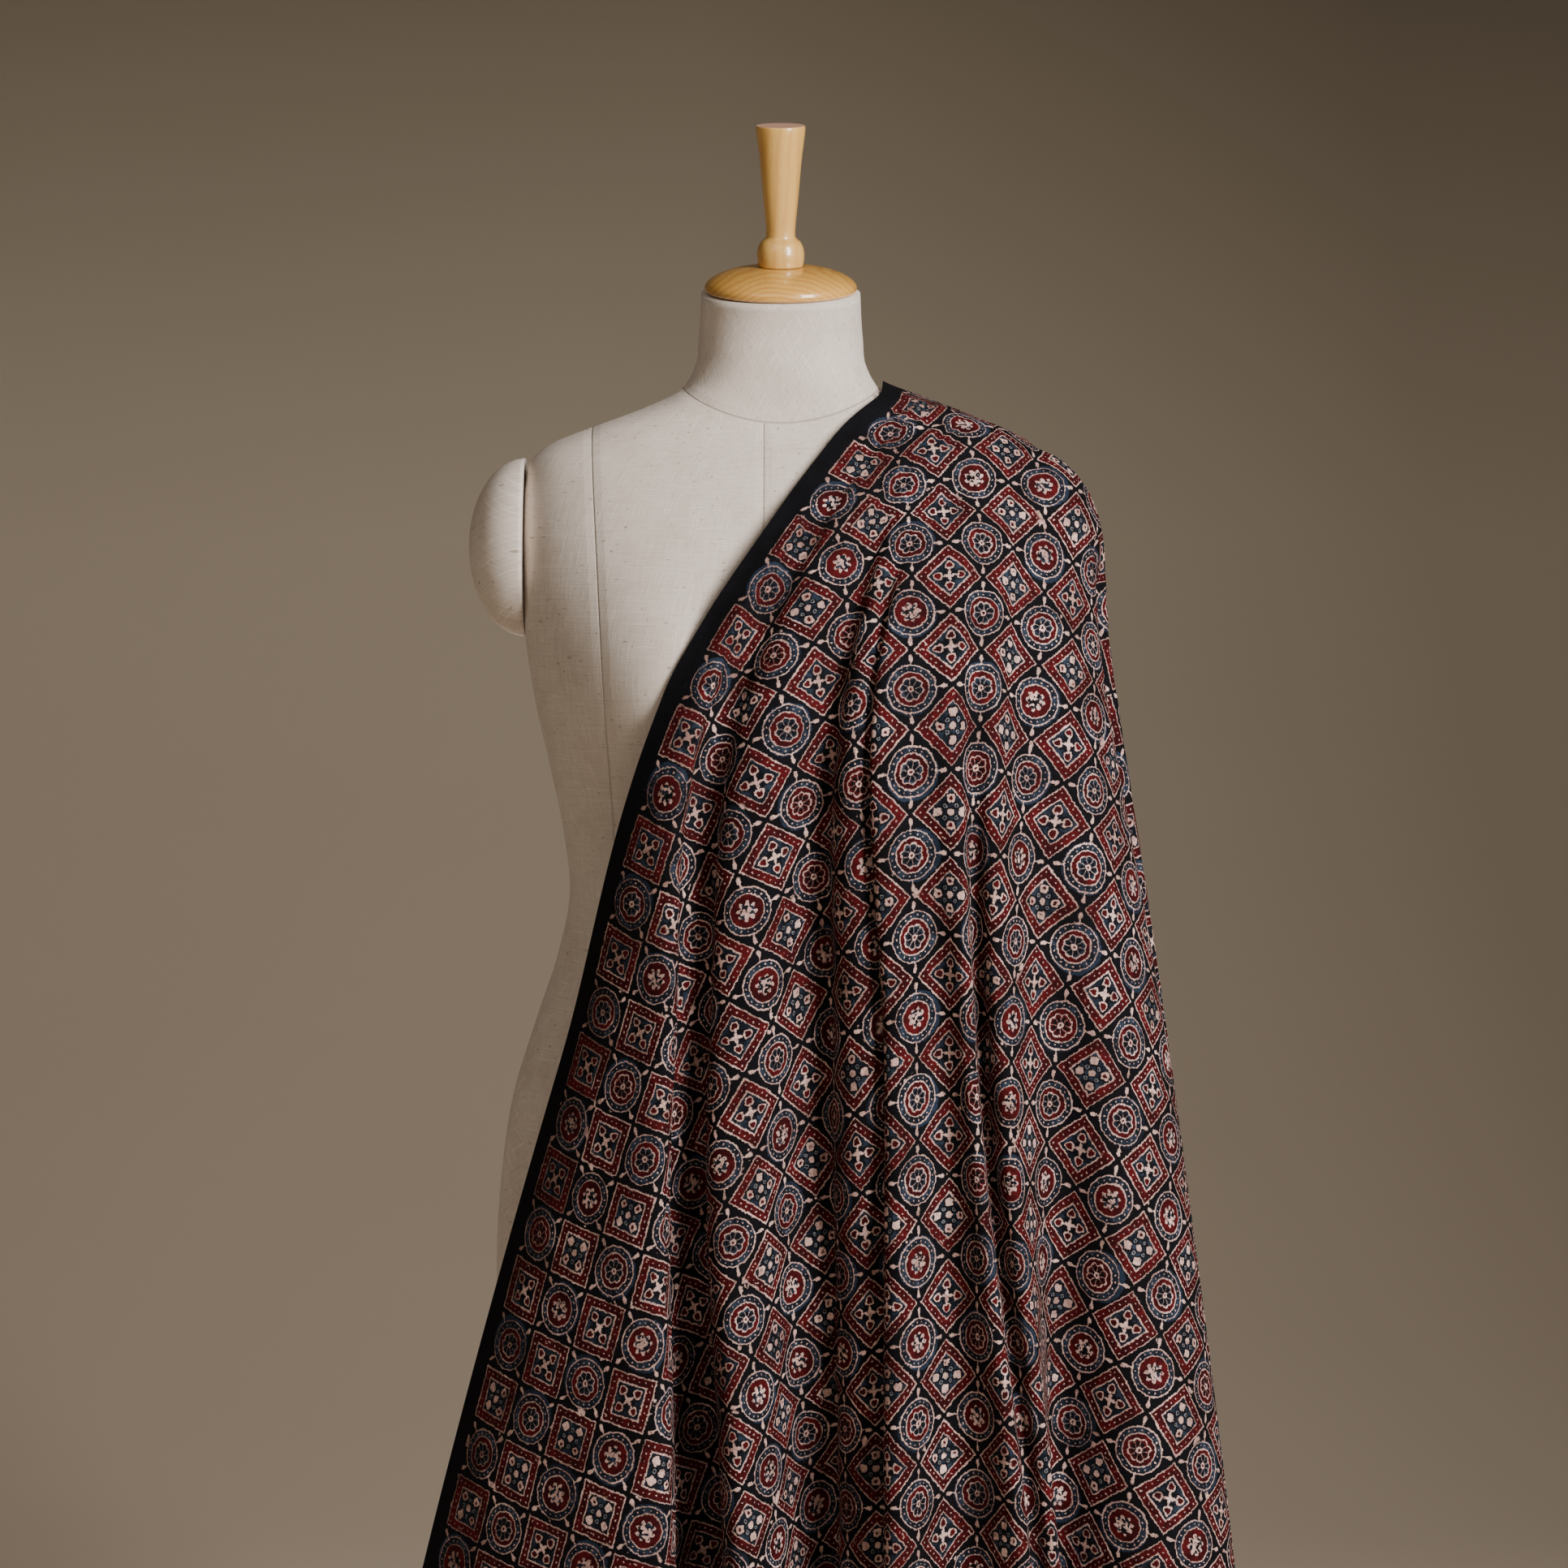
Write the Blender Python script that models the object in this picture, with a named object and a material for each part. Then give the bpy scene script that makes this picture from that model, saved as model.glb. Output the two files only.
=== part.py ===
"""Ajrakh cloth draped over one shoulder of a linen covered dress form on a plain stand.

Metres, Z up, the front faces -Y. The floor is z = 0 and the pole stands on the Z axis.
"""
import math

import bmesh
import bpy
import numpy as np
from mathutils import Matrix

MM = 0.001

# Heights of the form
FORM_BOTTOM = 0.700
NECK_TOP = 1.4885
NECK_LEAN_DEG = 12.0
NECK_LEAN_FROM = 1.436
SEAT_GAP = 0.0004

# Torso sections in mm: height, half width, front depth, back depth
TORSO_SECTIONS = (
    (700.0, 184.0, 104.0, 118.0),
    (720.0, 191.0, 108.0, 122.0),
    (760.0, 198.0, 114.0, 128.0),
    (810.0, 200.5, 117.0, 130.0),
    (870.0, 197.0, 116.0, 127.0),
    (930.0, 188.0, 112.0, 117.0),
    (985.0, 171.0, 107.0, 102.0),
    (1030.0, 156.0, 102.0, 91.0),
    (1071.0, 148.0, 100.0, 86.0),
    (1115.0, 152.0, 102.0, 88.0),
    (1160.0, 161.0, 107.0, 93.0),
    (1205.0, 171.0, 112.0, 99.0),
    (1250.0, 178.0, 113.0, 103.0),
    (1295.0, 182.0, 108.0, 105.0),
    (1330.0, 182.0, 98.0, 102.0),
    (1358.0, 178.0, 84.0, 92.0),
    (1376.0, 172.0, 70.0, 78.0),
    (1387.0, 156.0, 61.0, 67.0),
    (1398.0, 127.0, 56.0, 60.0),
    (1409.0, 97.0, 55.0, 57.0),
    (1420.0, 73.0, 57.0, 58.0),
    (1436.0, 60.5, 58.0, 58.0),
    (1458.0, 57.0, 57.0, 57.0),
    (1488.5, 55.0, 55.0, 55.0),
)
SECTION_POWER = 2.25
TORSO_AROUND = 44

# Bust: one soft rise a side
BUST_X = 0.083
BUST_Z = 1.214
BUST_RISE = 0.040
BUST_SPREAD_X = 0.046
BUST_SPREAD_Z = 0.050

# Arm stubs: oval domes on flat arm plates
ARM_PLATE_X = 0.1775
ARM_CENTRE_Z = 1.313
ARM_HALF_DEPTH = 0.050
ARM_HALF_HEIGHT = 0.062
ARM_BULGE = 0.0395
ARM_RINGS = 7
ARM_AROUND = 28

# Turned neck cap and finial, profiles in mm: radius, height
CAP_PROFILE = (
    (49.0, 0.0),
    (52.0, 1.1),
    (52.8, 3.6),
    (51.6, 6.6),
    (47.6, 10.0),
    (40.6, 13.4),
    (31.0, 16.2),
    (22.0, 17.6),
    (17.0, 18.0),
)
FINIAL_PROFILE = (
    (15.4, 0.0),
    (16.1, 3.6),
    (16.4, 8.0),
    (15.7, 12.6),
    (13.6, 16.8),
    (10.8, 19.4),
    (10.1, 21.0),
    (12.2, 47.0),
    (14.5, 73.0),
    (17.0, 95.0),
    (16.6, 96.0),
)
TURNED_AROUND = 32

# Plain stand below the form
PLATE_RADIUS = 0.085
PLATE_THICK = 0.012
POLE_RADIUS = 0.0155
POLE_AROUND = 24
BASE_PROFILE = (
    (168.0, 0.0),
    (172.0, 3.0),
    (171.0, 10.0),
    (165.0, 14.0),
    (60.0, 22.0),
    (32.0, 30.0),
    (27.0, 44.0),
    (24.0, 58.0),
    (19.0, 60.0),
)
BASE_AROUND = 40

# Cloth
CLOTH_THICK = 0.002
CLOTH_CLEAR = 0.0048
CREST_LIFT = 0.0074
ARM_ROOM = 0.002

# The cloth rests on the shoulder crest round one place and lifts off it to both sides
SEAT_X = 0.118
SEAT_REACH = 0.040
SEAT_RISE = 0.0016
CREST_RISE = 0.0055
CREST_END_X = 0.155
CREST_DROP_REACH = 0.040
CREST_DROP = 0.0060
COLUMNS_A_SIDE = 60
UPPER_ROWS = 6
LOWER_ROWS = 10

# Levels of the draped cloth below the ridge of the shoulder
CHEST_Z = 1.335
BUST_LINE_Z = 1.250
WAIST_Z = 0.970
HIP_Z = 0.660
FLOOR_Z = 0.050
FALL_ON = 0.75

# Where the cloth lies at the shoulder ridge, chest and bust line, in mm
# share round the cloth, ridge x, chest x, chest y, bust x, bust y
SHOULDER_ROWS = (
    (0.00, 71.0, 0.0, -108.0, -57.0, -140.0),
    (0.10, 88.0, 42.0, -110.0, 2.0, -144.0),
    (0.19, 106.0, 84.0, -106.0, 62.0, -156.0),
    (0.24, 120.0, 112.0, -97.0, 97.0, -157.0),
    (0.29, 138.0, 140.0, -84.0, 133.0, -141.0),
    (0.34, 155.0, 170.0, -65.0, 170.0, -107.0),
    (0.40, 172.0, 198.0, -38.0, 200.0, -66.0),
    (0.45, 183.0, 212.0, -18.0, 214.0, -30.0),
    (0.50, 189.0, 216.0, 0.0, 219.0, 0.0),
    (0.56, 181.0, 210.0, 22.0, 213.0, 36.0),
    (0.62, 170.0, 193.0, 48.0, 197.0, 68.0),
    (0.70, 150.0, 150.0, 78.0, 152.0, 97.0),
    (0.80, 118.0, 98.0, 100.0, 88.0, 114.0),
    (0.90, 90.0, 50.0, 110.0, 18.0, 118.0),
    (1.00, 71.0, 8.0, 110.0, -48.0, 112.0),
)

# Fold lines from the front selvedge round to the back selvedge, in mm
# name, share, waist x, waist y, hip x, hip y
FOLD_ROWS = (
    ("front selvedge", 0.000, -147.0, -104.0, -234.0, -85.0),
    ("left face a", 0.010, -127.0, -128.0, -198.0, -122.0),
    ("left face b", 0.020, -102.0, -149.0, -146.0, -160.0),
    ("left face c", 0.030, -85.0, -161.0, -102.0, -184.0),
    ("fold one front", 0.037, -76.0, -163.0, -77.0, -187.0),
    ("fold one wall", 0.043, -71.0, -152.0, -70.0, -160.0),
    ("fold one foot", 0.049, -71.0, -141.0, -72.0, -127.0),
    ("valley one a", 0.057, -64.0, -134.0, -59.0, -111.0),
    ("valley one b", 0.067, -53.0, -132.0, -42.0, -108.0),
    ("fold two turn", 0.077, -46.0, -138.0, -33.0, -122.0),
    ("fold two wall", 0.087, -48.0, -150.0, -40.0, -154.0),
    ("fold two front", 0.099, -37.0, -161.0, -28.0, -177.0),
    ("fold two slope", 0.125, -12.0, -157.0, -7.0, -158.0),
    ("valley two a", 0.150, 16.0, -136.0, 21.0, -112.0),
    ("valley two b", 0.163, 33.0, -127.0, 39.0, -99.0),
    ("strip edge", 0.172, 41.0, -135.0, 40.0, -122.0),
    ("strip face", 0.182, 56.0, -148.0, 60.0, -143.0),
    ("strip turn", 0.191, 81.0, -150.0, 84.0, -150.0),
    ("fold three wall", 0.198, 67.0, -161.0, 67.0, -171.0),
    ("fold three front", 0.207, 77.0, -168.0, 80.0, -183.0),
    ("panel trough", 0.241, 109.0, -153.0, 122.0, -147.0),
    ("panel edge", 0.268, 127.0, -166.0, 160.0, -181.0),
    ("fold four wall", 0.279, 132.0, -147.0, 166.0, -166.0),
    ("fold four foot", 0.289, 134.0, -130.0, 167.0, -151.0),
    ("fold four front", 0.302, 147.0, -163.0, 182.0, -176.0),
    ("valley four", 0.328, 184.0, -117.0, 187.0, -99.0),
    ("right face a", 0.370, 210.0, -117.0, 236.0, -126.0),
    ("right face b", 0.410, 247.0, -91.0, 281.0, -118.0),
    ("right edge", 0.440, 267.0, -48.0, 307.0, -76.0),
    ("side valley one", 0.458, 214.0, -36.0, 212.0, -52.0),
    ("side ridge one", 0.480, 270.0, -14.0, 311.0, -16.0),
    ("side valley two", 0.500, 212.0, 4.0, 210.0, 12.0),
    ("side ridge two", 0.520, 268.0, 24.0, 309.0, 46.0),
    ("side valley three", 0.545, 212.0, 42.0, 212.0, 76.0),
    ("back edge", 0.575, 256.0, 80.0, 296.0, 124.0),
    ("back valley one", 0.610, 207.0, 92.0, 228.0, 118.0),
    ("back ridge one", 0.650, 174.0, 132.0, 196.0, 205.0),
    ("back valley two", 0.690, 128.0, 116.0, 140.0, 132.0),
    ("back ridge two", 0.740, 88.0, 147.0, 96.0, 216.0),
    ("back valley three", 0.790, 42.0, 122.0, 36.0, 136.0),
    ("back ridge three", 0.840, 2.0, 150.0, -14.0, 218.0),
    ("back valley four", 0.890, -44.0, 122.0, -76.0, 134.0),
    ("back ridge four", 0.940, -86.0, 142.0, -134.0, 198.0),
    ("back selvedge", 1.000, -146.0, 110.0, -228.0, 122.0),
)
SIDE_FOLD = 31

# Height of the cloth's lower edge by the share round the cloth, in mm
HEM_ROWS = (
    (0.000, 615.0),
    (0.050, 550.0),
    (0.100, 485.0),
    (0.150, 425.0),
    (0.190, 325.0),
    (0.240, 185.0),
    (0.268, 85.0),
    (0.302, 125.0),
    (0.328, 210.0),
    (0.410, 300.0),
    (0.480, 410.0),
    (0.520, 410.0),
    (0.575, 325.0),
    (0.650, 180.0),
    (0.690, 165.0),
    (0.740, 330.0),
    (0.840, 500.0),
    (0.940, 570.0),
    (1.000, 590.0),
)

# The folds start above the waist: shares of their waist depth at the chest and the bust line
RELIEF_CHEST = 0.12
RELIEF_BUST = 0.48
RELIEF_REACH = 0.055

# From this fold row on, each ridge and valley is rounded by a half width in metres
ROUND_FROM = 29
ROUND_SHARE = 0.18
FOLD_ROUND = (0.006, 0.010)


def clear_scene():
    for thing in list(bpy.data.objects):
        bpy.data.objects.remove(thing, do_unlink=True)


def material(name, colour, roughness, metallic=0.0):
    made = bpy.data.materials.new(name)
    made.use_nodes = True
    shader = made.node_tree.nodes["Principled BSDF"]
    shader.inputs["Base Color"].default_value = (*colour, 1.0)
    shader.inputs["Roughness"].default_value = roughness
    shader.inputs["Metallic"].default_value = metallic
    return made


def add_object(name, verts, faces, look, smooth=True):
    mesh = bpy.data.meshes.new(name)
    mesh.from_pydata([tuple(v) for v in verts], [], faces)
    work = bmesh.new()
    work.from_mesh(mesh)
    bmesh.ops.recalc_face_normals(work, faces=work.faces)
    work.to_mesh(mesh)
    work.free()
    mesh.polygons.foreach_set("use_smooth", [smooth] * len(mesh.polygons))
    mesh.materials.append(look)
    thing = bpy.data.objects.new(name, mesh)
    bpy.context.scene.collection.objects.link(thing)
    return thing


def closed_rings(name, rings, look):
    """A closed body from rings of equal length, with a fan at each end."""
    around = len(rings[0])
    verts = [point for ring in rings for point in ring]
    first_centre = len(verts)
    verts.append(np.mean(rings[0], axis=0))
    last_centre = len(verts)
    verts.append(np.mean(rings[-1], axis=0))
    faces = []
    for row in range(len(rings) - 1):
        for k in range(around):
            after = (k + 1) % around
            low = row * around
            high = low + around
            faces.append((low + k, low + after, high + after, high + k))
    top = (len(rings) - 1) * around
    for k in range(around):
        after = (k + 1) % around
        faces.append((first_centre, after, k))
        faces.append((last_centre, top + k, top + after))
    return add_object(name, verts, faces, look)


def turned(name, profile, around, look):
    """A turned body about its own Z axis from rows of radius and height in mm."""
    turn = np.linspace(0.0, 2.0 * math.pi, around, endpoint=False)
    rings = []
    for radius, height in profile:
        ring = np.stack([np.cos(turn) * radius, np.sin(turn) * radius, turn * 0.0 + height], 1)
        rings.append(ring * MM)
    return closed_rings(name, rings, look)


def flow(knots, values, at):
    """A smooth curve through rows of values, with slopes taken from the neighbours."""
    knots = np.asarray(knots, float)
    values = np.asarray(values, float)
    at = np.clip(np.asarray(at, float), knots[0], knots[-1])
    steps = np.diff(knots)[:, None]
    chords = np.diff(values, axis=0) / steps
    slopes = np.empty_like(values)
    slopes[0] = chords[0]
    slopes[-1] = chords[-1]
    before = steps[:-1]
    after = steps[1:]
    slopes[1:-1] = (chords[:-1] * after + chords[1:] * before) / (before + after)
    cell = np.clip(np.searchsorted(knots, at, side="right") - 1, 0, len(knots) - 2)
    width = (knots[cell + 1] - knots[cell])[:, None]
    t = (at - knots[cell])[:, None] / width
    start = values[cell] * (2 * t ** 3 - 3 * t ** 2 + 1) + slopes[cell] * width * (t ** 3 - 2 * t ** 2 + t)
    end = values[cell + 1] * (3 * t ** 2 - 2 * t ** 3) + slopes[cell + 1] * width * (t ** 3 - t ** 2)
    return start + end


TORSO_TABLE = np.array(TORSO_SECTIONS) * MM


def torso_size(height):
    """Half width, front depth and back depth of the torso at each height."""
    return flow(TORSO_TABLE[:, 0], TORSO_TABLE[:, 1:], height)


def bust_rise(x, z):
    across = (np.abs(x) - BUST_X) / BUST_SPREAD_X
    up = (z - BUST_Z) / BUST_SPREAD_Z
    return BUST_RISE * np.exp(-0.5 * (across ** 2 + up ** 2))


def torso_ring(height, around):
    turn = np.linspace(0.0, 2.0 * math.pi, around, endpoint=False)
    half_width, front, back = torso_size([height])[0]
    side = np.cos(turn)
    depth = np.sin(turn)
    share = 2.0 / SECTION_POWER
    x = np.sign(side) * np.abs(side) ** share * half_width
    deep = np.where(depth < 0.0, front, back)
    y = np.sign(depth) * np.abs(depth) ** share * deep
    y = y - bust_rise(x, height) * (depth < 0.0) * np.abs(depth) ** 0.5
    x = np.clip(x, -ARM_PLATE_X, ARM_PLATE_X) if 1.24 < height < 1.38 else x
    lean = math.tan(math.radians(NECK_LEAN_DEG))
    part = np.clip((height - NECK_LEAN_FROM) / (NECK_TOP - NECK_LEAN_FROM), 0.0, 1.0)
    z = height + y * lean * part
    y = y - (height - NECK_LEAN_FROM) * lean * part
    return np.stack([x, y, z], 1)


def build_torso(look):
    heights = [row[0] * MM for row in TORSO_SECTIONS]
    rings = [torso_ring(height, TORSO_AROUND) for height in heights]
    return closed_rings("torso", rings, look)


def build_arm(name, side, look):
    turn = np.linspace(0.0, 2.0 * math.pi, ARM_AROUND, endpoint=False)
    base = ARM_PLATE_X + SEAT_GAP
    rings = []
    for step in range(ARM_RINGS):
        lift = math.radians(86.0 * step / (ARM_RINGS - 1))
        reach = math.cos(lift)
        out = base + ARM_BULGE * math.sin(lift)
        y = np.cos(turn) * ARM_HALF_DEPTH * reach
        z = np.sin(turn) * ARM_HALF_HEIGHT * reach + ARM_CENTRE_Z
        rings.append(np.stack([turn * 0.0 + side * out, y, z], 1))
    return closed_rings(name, rings, look)


def pushed_clear(points):
    """Points moved outward till they clear the torso and the arm stub."""
    x, y, z = points[:, 0].copy(), points[:, 1].copy(), points[:, 2]
    lift = CREST_LIFT * np.clip((z - 1.30) / 0.05, 0.0, 1.0)
    size = torso_size(np.clip(z - lift, FORM_BOTTOM, NECK_TOP))
    gap = CLOTH_CLEAR + CLOTH_THICK / 2.0
    front = size[:, 1] + bust_rise(x, z)
    deep = np.where(y < 0.0, front, size[:, 2]) + gap
    wide = size[:, 0] + gap
    reach = (np.abs(x) / wide) ** SECTION_POWER + (np.abs(y) / deep) ** SECTION_POWER
    scale = np.where(reach < 1.0, np.maximum(reach, 1e-6) ** (-1.0 / SECTION_POWER), 1.0)
    scale = np.where(z > FORM_BOTTOM - 0.01, scale, 1.0)
    x = x * scale
    y = y * scale
    arm_gap = gap + ARM_ROOM
    ax = np.maximum(x - ARM_PLATE_X, 0.0) / (ARM_BULGE + arm_gap)
    ay = y / (ARM_HALF_DEPTH + arm_gap)
    az = (z - ARM_CENTRE_Z) / (ARM_HALF_HEIGHT + arm_gap)
    ball = np.sqrt(ax ** 2 + ay ** 2 + az ** 2)
    inside = (ball < 1.0) & (x > ARM_PLATE_X)
    grow = np.where(inside, 1.0 / np.maximum(ball, 0.2), 1.0)
    x = np.where(inside, ARM_PLATE_X + (x - ARM_PLATE_X) * grow, x)
    y = y * grow
    z = np.where(inside, ARM_CENTRE_Z + (z - ARM_CENTRE_Z) * grow, z)
    return np.stack([x, y, z], 1)


SHOULDER = np.array(SHOULDER_ROWS)
FOLDS = np.array([row[1:] for row in FOLD_ROWS])
HEMS = np.array(HEM_ROWS)


def ridge_point(share):
    """The cloth's crest along the shoulder, a little above the form's own crest."""
    x = flow(SHOULDER[:, 0], SHOULDER[:, 1:2], share)[:, 0] * MM
    crest = TORSO_TABLE[14:22]
    z = np.interp(x, crest[::-1, 1], crest[::-1, 0])
    off_seat = np.clip(np.abs(x - SEAT_X) / SEAT_REACH, 0.0, 1.0)[:, None] ** 2
    past_crest = np.clip((x - CREST_END_X) / CREST_DROP_REACH, 0.0, 1.0) ** 2
    seated = np.stack([x, x * 0.0, z + SEAT_RISE], 1)
    lifted = pushed_clear(np.stack([x, x * 0.0, z + CREST_RISE - CREST_DROP * past_crest], 1))
    return seated + (lifted - seated) * off_seat


def section(level, column):
    """The cloth's line at the waist (0) or hip (1) for places between the fold rows."""
    ends = FOLDS[:, 1 + 2 * level:3 + 2 * level] * MM
    places = []
    points = []
    for k in range(len(ends)):
        if ROUND_FROM <= k < len(ends) - 1:
            along = ends[k + 1] - ends[k - 1]
            along = along / np.linalg.norm(along) * FOLD_ROUND[level]
            places += [k - ROUND_SHARE, k + ROUND_SHARE]
            points += [ends[k] - along, ends[k] + along]
        else:
            places.append(float(k))
            points.append(ends[k])
    points = np.array(points)
    jumps = np.linalg.norm(np.diff(points, axis=0), axis=1) ** 0.5
    knots = np.concatenate([[0.0], np.cumsum(jumps)])
    place = np.interp(column, places, knots)
    return flow(knots, points, place)


def fold_relief(columns):
    """How far the folds at the waist stand from the waist line's own running mean."""
    fine = np.linspace(0.0, len(FOLDS) - 1.0, 10 * (len(FOLDS) - 1) + 1)
    line = section(0, fine)
    length = np.concatenate([[0.0], np.cumsum(np.linalg.norm(np.diff(line, axis=0), axis=1))])
    weight = np.exp(-0.5 * ((length[:, None] - length[None, :]) / RELIEF_REACH) ** 2)
    weight = weight * np.gradient(length)[None, :]
    mean = weight @ line / weight.sum(1)[:, None]
    fade = np.clip(np.minimum(length, length[-1] - length) / RELIEF_REACH, 0.0, 1.0)[:, None]
    relief = (line - mean) * fade
    return np.stack([np.interp(columns, fine, relief[:, k]) for k in range(2)], 1)


def half_stations(columns, ridge_share):
    """Six stations down each column: ridge, chest, bust line, waist, hip and floor."""
    share = np.interp(columns, np.arange(len(FOLDS)), FOLDS[:, 0])
    upper = flow(SHOULDER[:, 0], SHOULDER[:, 2:], share) * MM
    hem = np.interp(share, HEMS[:, 0], HEMS[:, 1]) * MM
    relief = fold_relief(columns)
    flat = np.ones((len(columns), 1))
    chest = np.hstack([upper[:, 0:2] + relief * RELIEF_CHEST, flat * CHEST_Z])
    bust = np.hstack([upper[:, 2:4] + relief * RELIEF_BUST, flat * BUST_LINE_Z])
    waist = np.hstack([section(0, columns), flat * WAIST_Z])
    hip = np.hstack([section(1, columns), flat * HIP_Z])
    on = (hip - waist) * (HIP_Z - FLOOR_Z) / (WAIST_Z - HIP_Z) * FALL_ON
    floor = np.hstack([(hip + on)[:, 0:2], flat * FLOOR_Z])
    return [ridge_point(ridge_share), chest, bust, waist, hip, floor], hem


def half_cloth(stations, other_chest, hem):
    """Rows of points from the ridge down to the hem of one half of the cloth."""
    ridge, chest, bust, waist, hip, floor = stations
    knots = [-0.13, 0.0, 0.13, 0.215, 0.495, 0.805, 1.415]
    lines = np.stack([other_chest, ridge, chest, bust, waist, hip, floor], 1)
    rows = []
    bust_knot = knots[3]
    for row in range(UPPER_ROWS + LOWER_ROWS + 1):
        if row <= UPPER_ROWS:
            at = np.full(len(hem), bust_knot * row / UPPER_ROWS)
        else:
            part = (row - UPPER_ROWS) / LOWER_ROWS
            end = bust_knot + (BUST_LINE_Z - hem)
            at = bust_knot + (end - bust_knot) * part
        rows.append(np.array([flow(knots, lines[k], [at[k]])[0] for k in range(len(hem))]))
    return rows


def cloth_grid():
    """Front rows and back rows of the cloth's middle surface."""
    count = COLUMNS_A_SIDE
    front_columns = np.linspace(0.0, SIDE_FOLD, count + 1)
    back_columns = np.linspace(len(FOLDS) - 1.0, SIDE_FOLD, count + 1)
    share = np.interp(front_columns, np.arange(len(FOLDS)), FOLDS[:, 0])
    front, front_hem = half_stations(front_columns, share)
    back, back_hem = half_stations(back_columns, share)
    front_rows = half_cloth(front, back[1], front_hem)
    back_rows = half_cloth(back, front[1], back_hem)
    front_rows[1:] = [pushed_clear(row) for row in front_rows[1:]]
    back_rows[1:] = [pushed_clear(row) for row in back_rows[1:]]
    return front_rows, back_rows


def build_cloth(look):
    front_rows, back_rows = cloth_grid()
    count = COLUMNS_A_SIDE
    rows = UPPER_ROWS + LOWER_ROWS
    points = []
    front_id = np.zeros((rows + 1, count + 1), int)
    back_id = np.zeros((rows + 1, count + 1), int)
    for row in range(rows + 1):
        for k in range(count + 1):
            front_id[row, k] = len(points)
            points.append(front_rows[row][k])
    for row in range(rows + 1):
        for k in range(count + 1):
            if row == 0 or k == count:
                back_id[row, k] = front_id[row, k]
            else:
                back_id[row, k] = len(points)
                points.append(back_rows[row][k])
    quads = []
    for row in range(rows):
        for k in range(count):
            here = front_id[row:row + 2, k:k + 2]
            quads.append((here[0, 0], here[0, 1], here[1, 1], here[1, 0]))
            here = back_id[row:row + 2, k:k + 2]
            quads.append((here[0, 0], here[1, 0], here[1, 1], here[0, 1]))
    points = np.array(points)
    quads = np.array(quads)
    corner = points[quads]
    face_normal = np.cross(corner[:, 2] - corner[:, 0], corner[:, 3] - corner[:, 1])
    normal = np.zeros_like(points)
    for k in range(4):
        np.add.at(normal, quads[:, k], face_normal)
    normal /= np.linalg.norm(normal, axis=1)[:, None]
    outer = points + normal * CLOTH_THICK / 2.0
    inner = points - normal * CLOTH_THICK / 2.0
    total = len(points)
    faces = [tuple(int(v) for v in quad) for quad in quads]
    faces += [tuple(int(v) + total for v in quad[::-1]) for quad in quads]
    edges = {}
    for quad in quads:
        for k in range(4):
            edge = (int(quad[k]), int(quad[(k + 1) % 4]))
            edges[edge] = edges.get(edge, 0) + 1
    for start, end in edges:
        if (end, start) not in edges:
            faces.append((end, start, start + total, end + total))
    return add_object("ajrakh_cloth", np.vstack([outer, inner]), faces, look)


def main():
    clear_scene()
    cotton = material("printed_cotton", (0.105, 0.035, 0.040), 0.86)
    linen = material("linen_cover", (0.560, 0.500, 0.430), 0.92)
    wood = material("varnished_wood", (0.620, 0.330, 0.110), 0.32)
    metal = material("painted_steel", (0.050, 0.048, 0.045), 0.45, 0.6)

    build_torso(linen)
    build_arm("arm_stub_left", -1.0, linen)
    build_arm("arm_stub_right", 1.0, linen)

    lean = math.radians(NECK_LEAN_DEG)
    neck_y = -(NECK_TOP - NECK_LEAN_FROM) * math.tan(lean)
    tilt = Matrix.Rotation(lean, 4, "X")
    cap = turned("neck_cap", CAP_PROFILE, TURNED_AROUND, wood)
    cap_seat = Matrix.Translation((0.0, neck_y, NECK_TOP)) @ tilt @ Matrix.Translation((0.0, 0.0, SEAT_GAP))
    cap.matrix_world = cap_seat
    finial = turned("finial", FINIAL_PROFILE, TURNED_AROUND, wood)
    cap_height = CAP_PROFILE[-1][1] * MM
    finial.matrix_world = cap_seat @ Matrix.Translation((0.0, 0.0, cap_height + SEAT_GAP))

    plate_top = FORM_BOTTOM - SEAT_GAP
    plate_low = plate_top - PLATE_THICK
    plate_rows = ((PLATE_RADIUS / MM, 0.0), (PLATE_RADIUS / MM, PLATE_THICK / MM))
    plate = turned("base_plate", plate_rows, BASE_AROUND, wood)
    plate.location = (0.0, 0.0, plate_low)
    pole_low = BASE_PROFILE[-1][1] * MM + SEAT_GAP
    pole_high = plate_low - SEAT_GAP
    pole_rows = ((POLE_RADIUS / MM, 0.0), (POLE_RADIUS / MM, (pole_high - pole_low) / MM))
    pole = turned("pole", pole_rows, POLE_AROUND, metal)
    pole.location = (0.0, 0.0, pole_low)
    turned("stand_base", BASE_PROFILE, BASE_AROUND, wood)

    build_cloth(cotton)


main()
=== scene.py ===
"""Looks for the ajrakh cloth draped over one shoulder of a linen covered dress form.

Metres, Z up, the front faces -Y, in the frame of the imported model.
"""
import math

import bpy
import numpy as np
from mathutils import Matrix, Vector


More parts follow.
